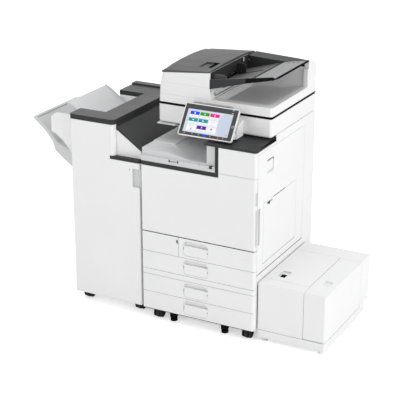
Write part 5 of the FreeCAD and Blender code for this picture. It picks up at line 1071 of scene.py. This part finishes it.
def exit_details():
    """The delivery tray's raised bed, its stops and catches, and the dark edge of its frame."""
    corner = (bay.left, bay.front, bay.low)
    right, front, foot = bay.left + 128, bay.front + 98, bay.low + 68
    bed = block("exit_tray_bed", (bay.left + 7, front, bay.low + 60), (right, bay.back - 12, bay.low + 76), 6,
                steps=4)
    pull(bed, lambda at: at.z < foot and at.y < front + 20, (0, -40, -4))
    pull(bed, lambda at: at.z < foot and at.x > right - 20, (62, 0, -14))
    add(bed, "base", PALE)
    lines = [block("lip_joint", (298, -0.4, 24), (299.5, 1, 41), 0.2, steps=1, at=corner),
             block("lip_rod", (150, -0.6, 24), (192, 1, 27), 0.8, at=corner)]
    add(join("exit_tray_joints", lines), "base", SWITCH_GREY)
    dark = [block("exit_frame_edge", (bay.right - 6.5, bay.front - 1, bay.low + 8),
                  (bay.right + 0.4, bay.front + 8, bay.high - 9), 0.8),
            block("lip_end_0", (144, -0.8, 20), (150, 3, 32), 0.8, at=corner),
            block("lip_end_1", (188, -0.8, 20), (194, 3, 32), 0.8, at=corner),
            block("lip_catch", (350, -0.4, 21), (365, 4, 36), 0.8, at=corner)]
    add(join("exit_tray_catches", dark), "base", CHARCOAL)


def left_ledge():
    """The pale ledge that carries the left end of the scanner."""
    ledge = block("scanner_ledge", (unit.left + 10, feeder_face - 14, bay.high - 1),
                  (unit.left + 105, feeder_face + 45, scanner.low - 1), 1.5)
    add(ledge, "base", PALE)


exit_details()
left_ledge()


# ---------------- right side and finisher

def right_side():
    """The bypass tray's catch and finger slots, the pull pocket's sill and mark, and a black plate as painted shade
    in the lid's finger slot.
    """
    tray_top = (unit.right, unit.front, bypass.high)
    door_top = (unit.right, unit.front, door.high)
    add(block("bypass_catch", (-4.6, 134, -21), (0.3, 149, -5), 0.5, at=tray_top), "bypass", BLACK)
    mark = block("pocket_mark", (-2, 182, -60), (0.3, 187, -55.5), 0.2, at=door_top)
    sill = block("pocket_sill", (-5, 114.5, -112.6), (-2.6, 183.5, -107.4), 0.3, at=door_top)
    add(sill, "right_door_body", WHITE)
    add(mark, "right_door_body", BLACK)
    dark = [block("bypass_slot_%d" % index, (-2, first, 0.3), (0.2, last, 2.6), 0.1, steps=1, at=tray_top)
            for index, (first, last) in enumerate(((193, 250), (263, 317)))]
    add(join("bypass_slots", dark), "right_door_body", BLACK)
    # Painted shade: a black plate in the lid's finger cup for the dark slot.
    slot = block("lid_finger_slot_shade", (59, 149, -7.1), (82, 181, -6.2), 0.4, at=(unit.right, unit.front, lid.high))
    add(slot, "side_lid", BLACK)


def finisher_catch():
    """The small catch beside the finisher door's pull."""
    catch = block("finisher_catch", (-55, -0.3, 679), (-51, 2, 684), 0.3,
                  at=(finisher_front.right, finisher_front.front, finisher_front.low))
    add(catch, body_of["finisher_door"], CHARCOAL)


right_side()
finisher_catch()


# ---------------- casters and feet

def wheel_walls(node):
    """Broad side walls that make a caster wheel's tyre."""
    wheel = sides(node)
    middle = ((wheel.front + wheel.back) / 2, (wheel.low + wheel.high) / 2)
    made = [disc("%s_wall_%d" % (node, side), (face + side * 8.6, *middle), "X", radius=24, thick=8, rounding=7.5,
                 corners=40, steps=5) for side, face in ((-1, wheel.left), (1, wheel.right))]
    add(join(node + "_walls", made), body_of[node], TREAD)


def foot_collars():
    """Black housings of the levelling feet under the main unit."""
    made = [block("foot_collar_%d" % index, (across - 15, 25, 17), (across + 15, 55, 55.6), 3, steps=3,
                  at=(unit.left, unit.front, 0)) for index, across in enumerate((147.25, 419.25))]
    add(join("foot_collars", made), "base", BLACK)


for node in ("main_left_wheel", "main_right_wheel", "finisher_left_wheel", "finisher_right_wheel"):
    wheel_walls(node)
foot_collars()


# ---------------- toner bottles and the back's screws

def toner_rings():
    """A coloured ring on each toner bottle's cap."""
    bottles = sides("toner_bottles")
    first, pitch = unit.left + 94.25, 105
    for index, ink in enumerate(TONER_INKS):
        ring = disc("toner_ring_%d" % index, (first + pitch * index, bottles.front + 13, bottles.high - 33), "Y",
                    radius=33.4, thick=5, rounding=0.8, corners=48)
        add(ring, "base", ink)


def screws():
    """Cross-head screws of the rear covers."""
    rows, columns = (70, 250, 440, 610, 780, 930), (14, 200, 387, 573)
    first = disc("screw", (rear_cover.left + columns[0], rear_cover.back + 0.8, rows[0]), "Y",
                 radius=4, thick=1.6, rounding=0.6, corners=20)
    made = [twin(first, "screw_%d_%d" % (across, up), (across - columns[0], 0, up - rows[0]))
            for across in columns for up in rows]
    bpy.data.objects.remove(first)
    add(join("rear_cover_screws", made), "base", PLATED)


toner_rings()
screws()

bpy.ops.object.select_all(action="DESELECT")
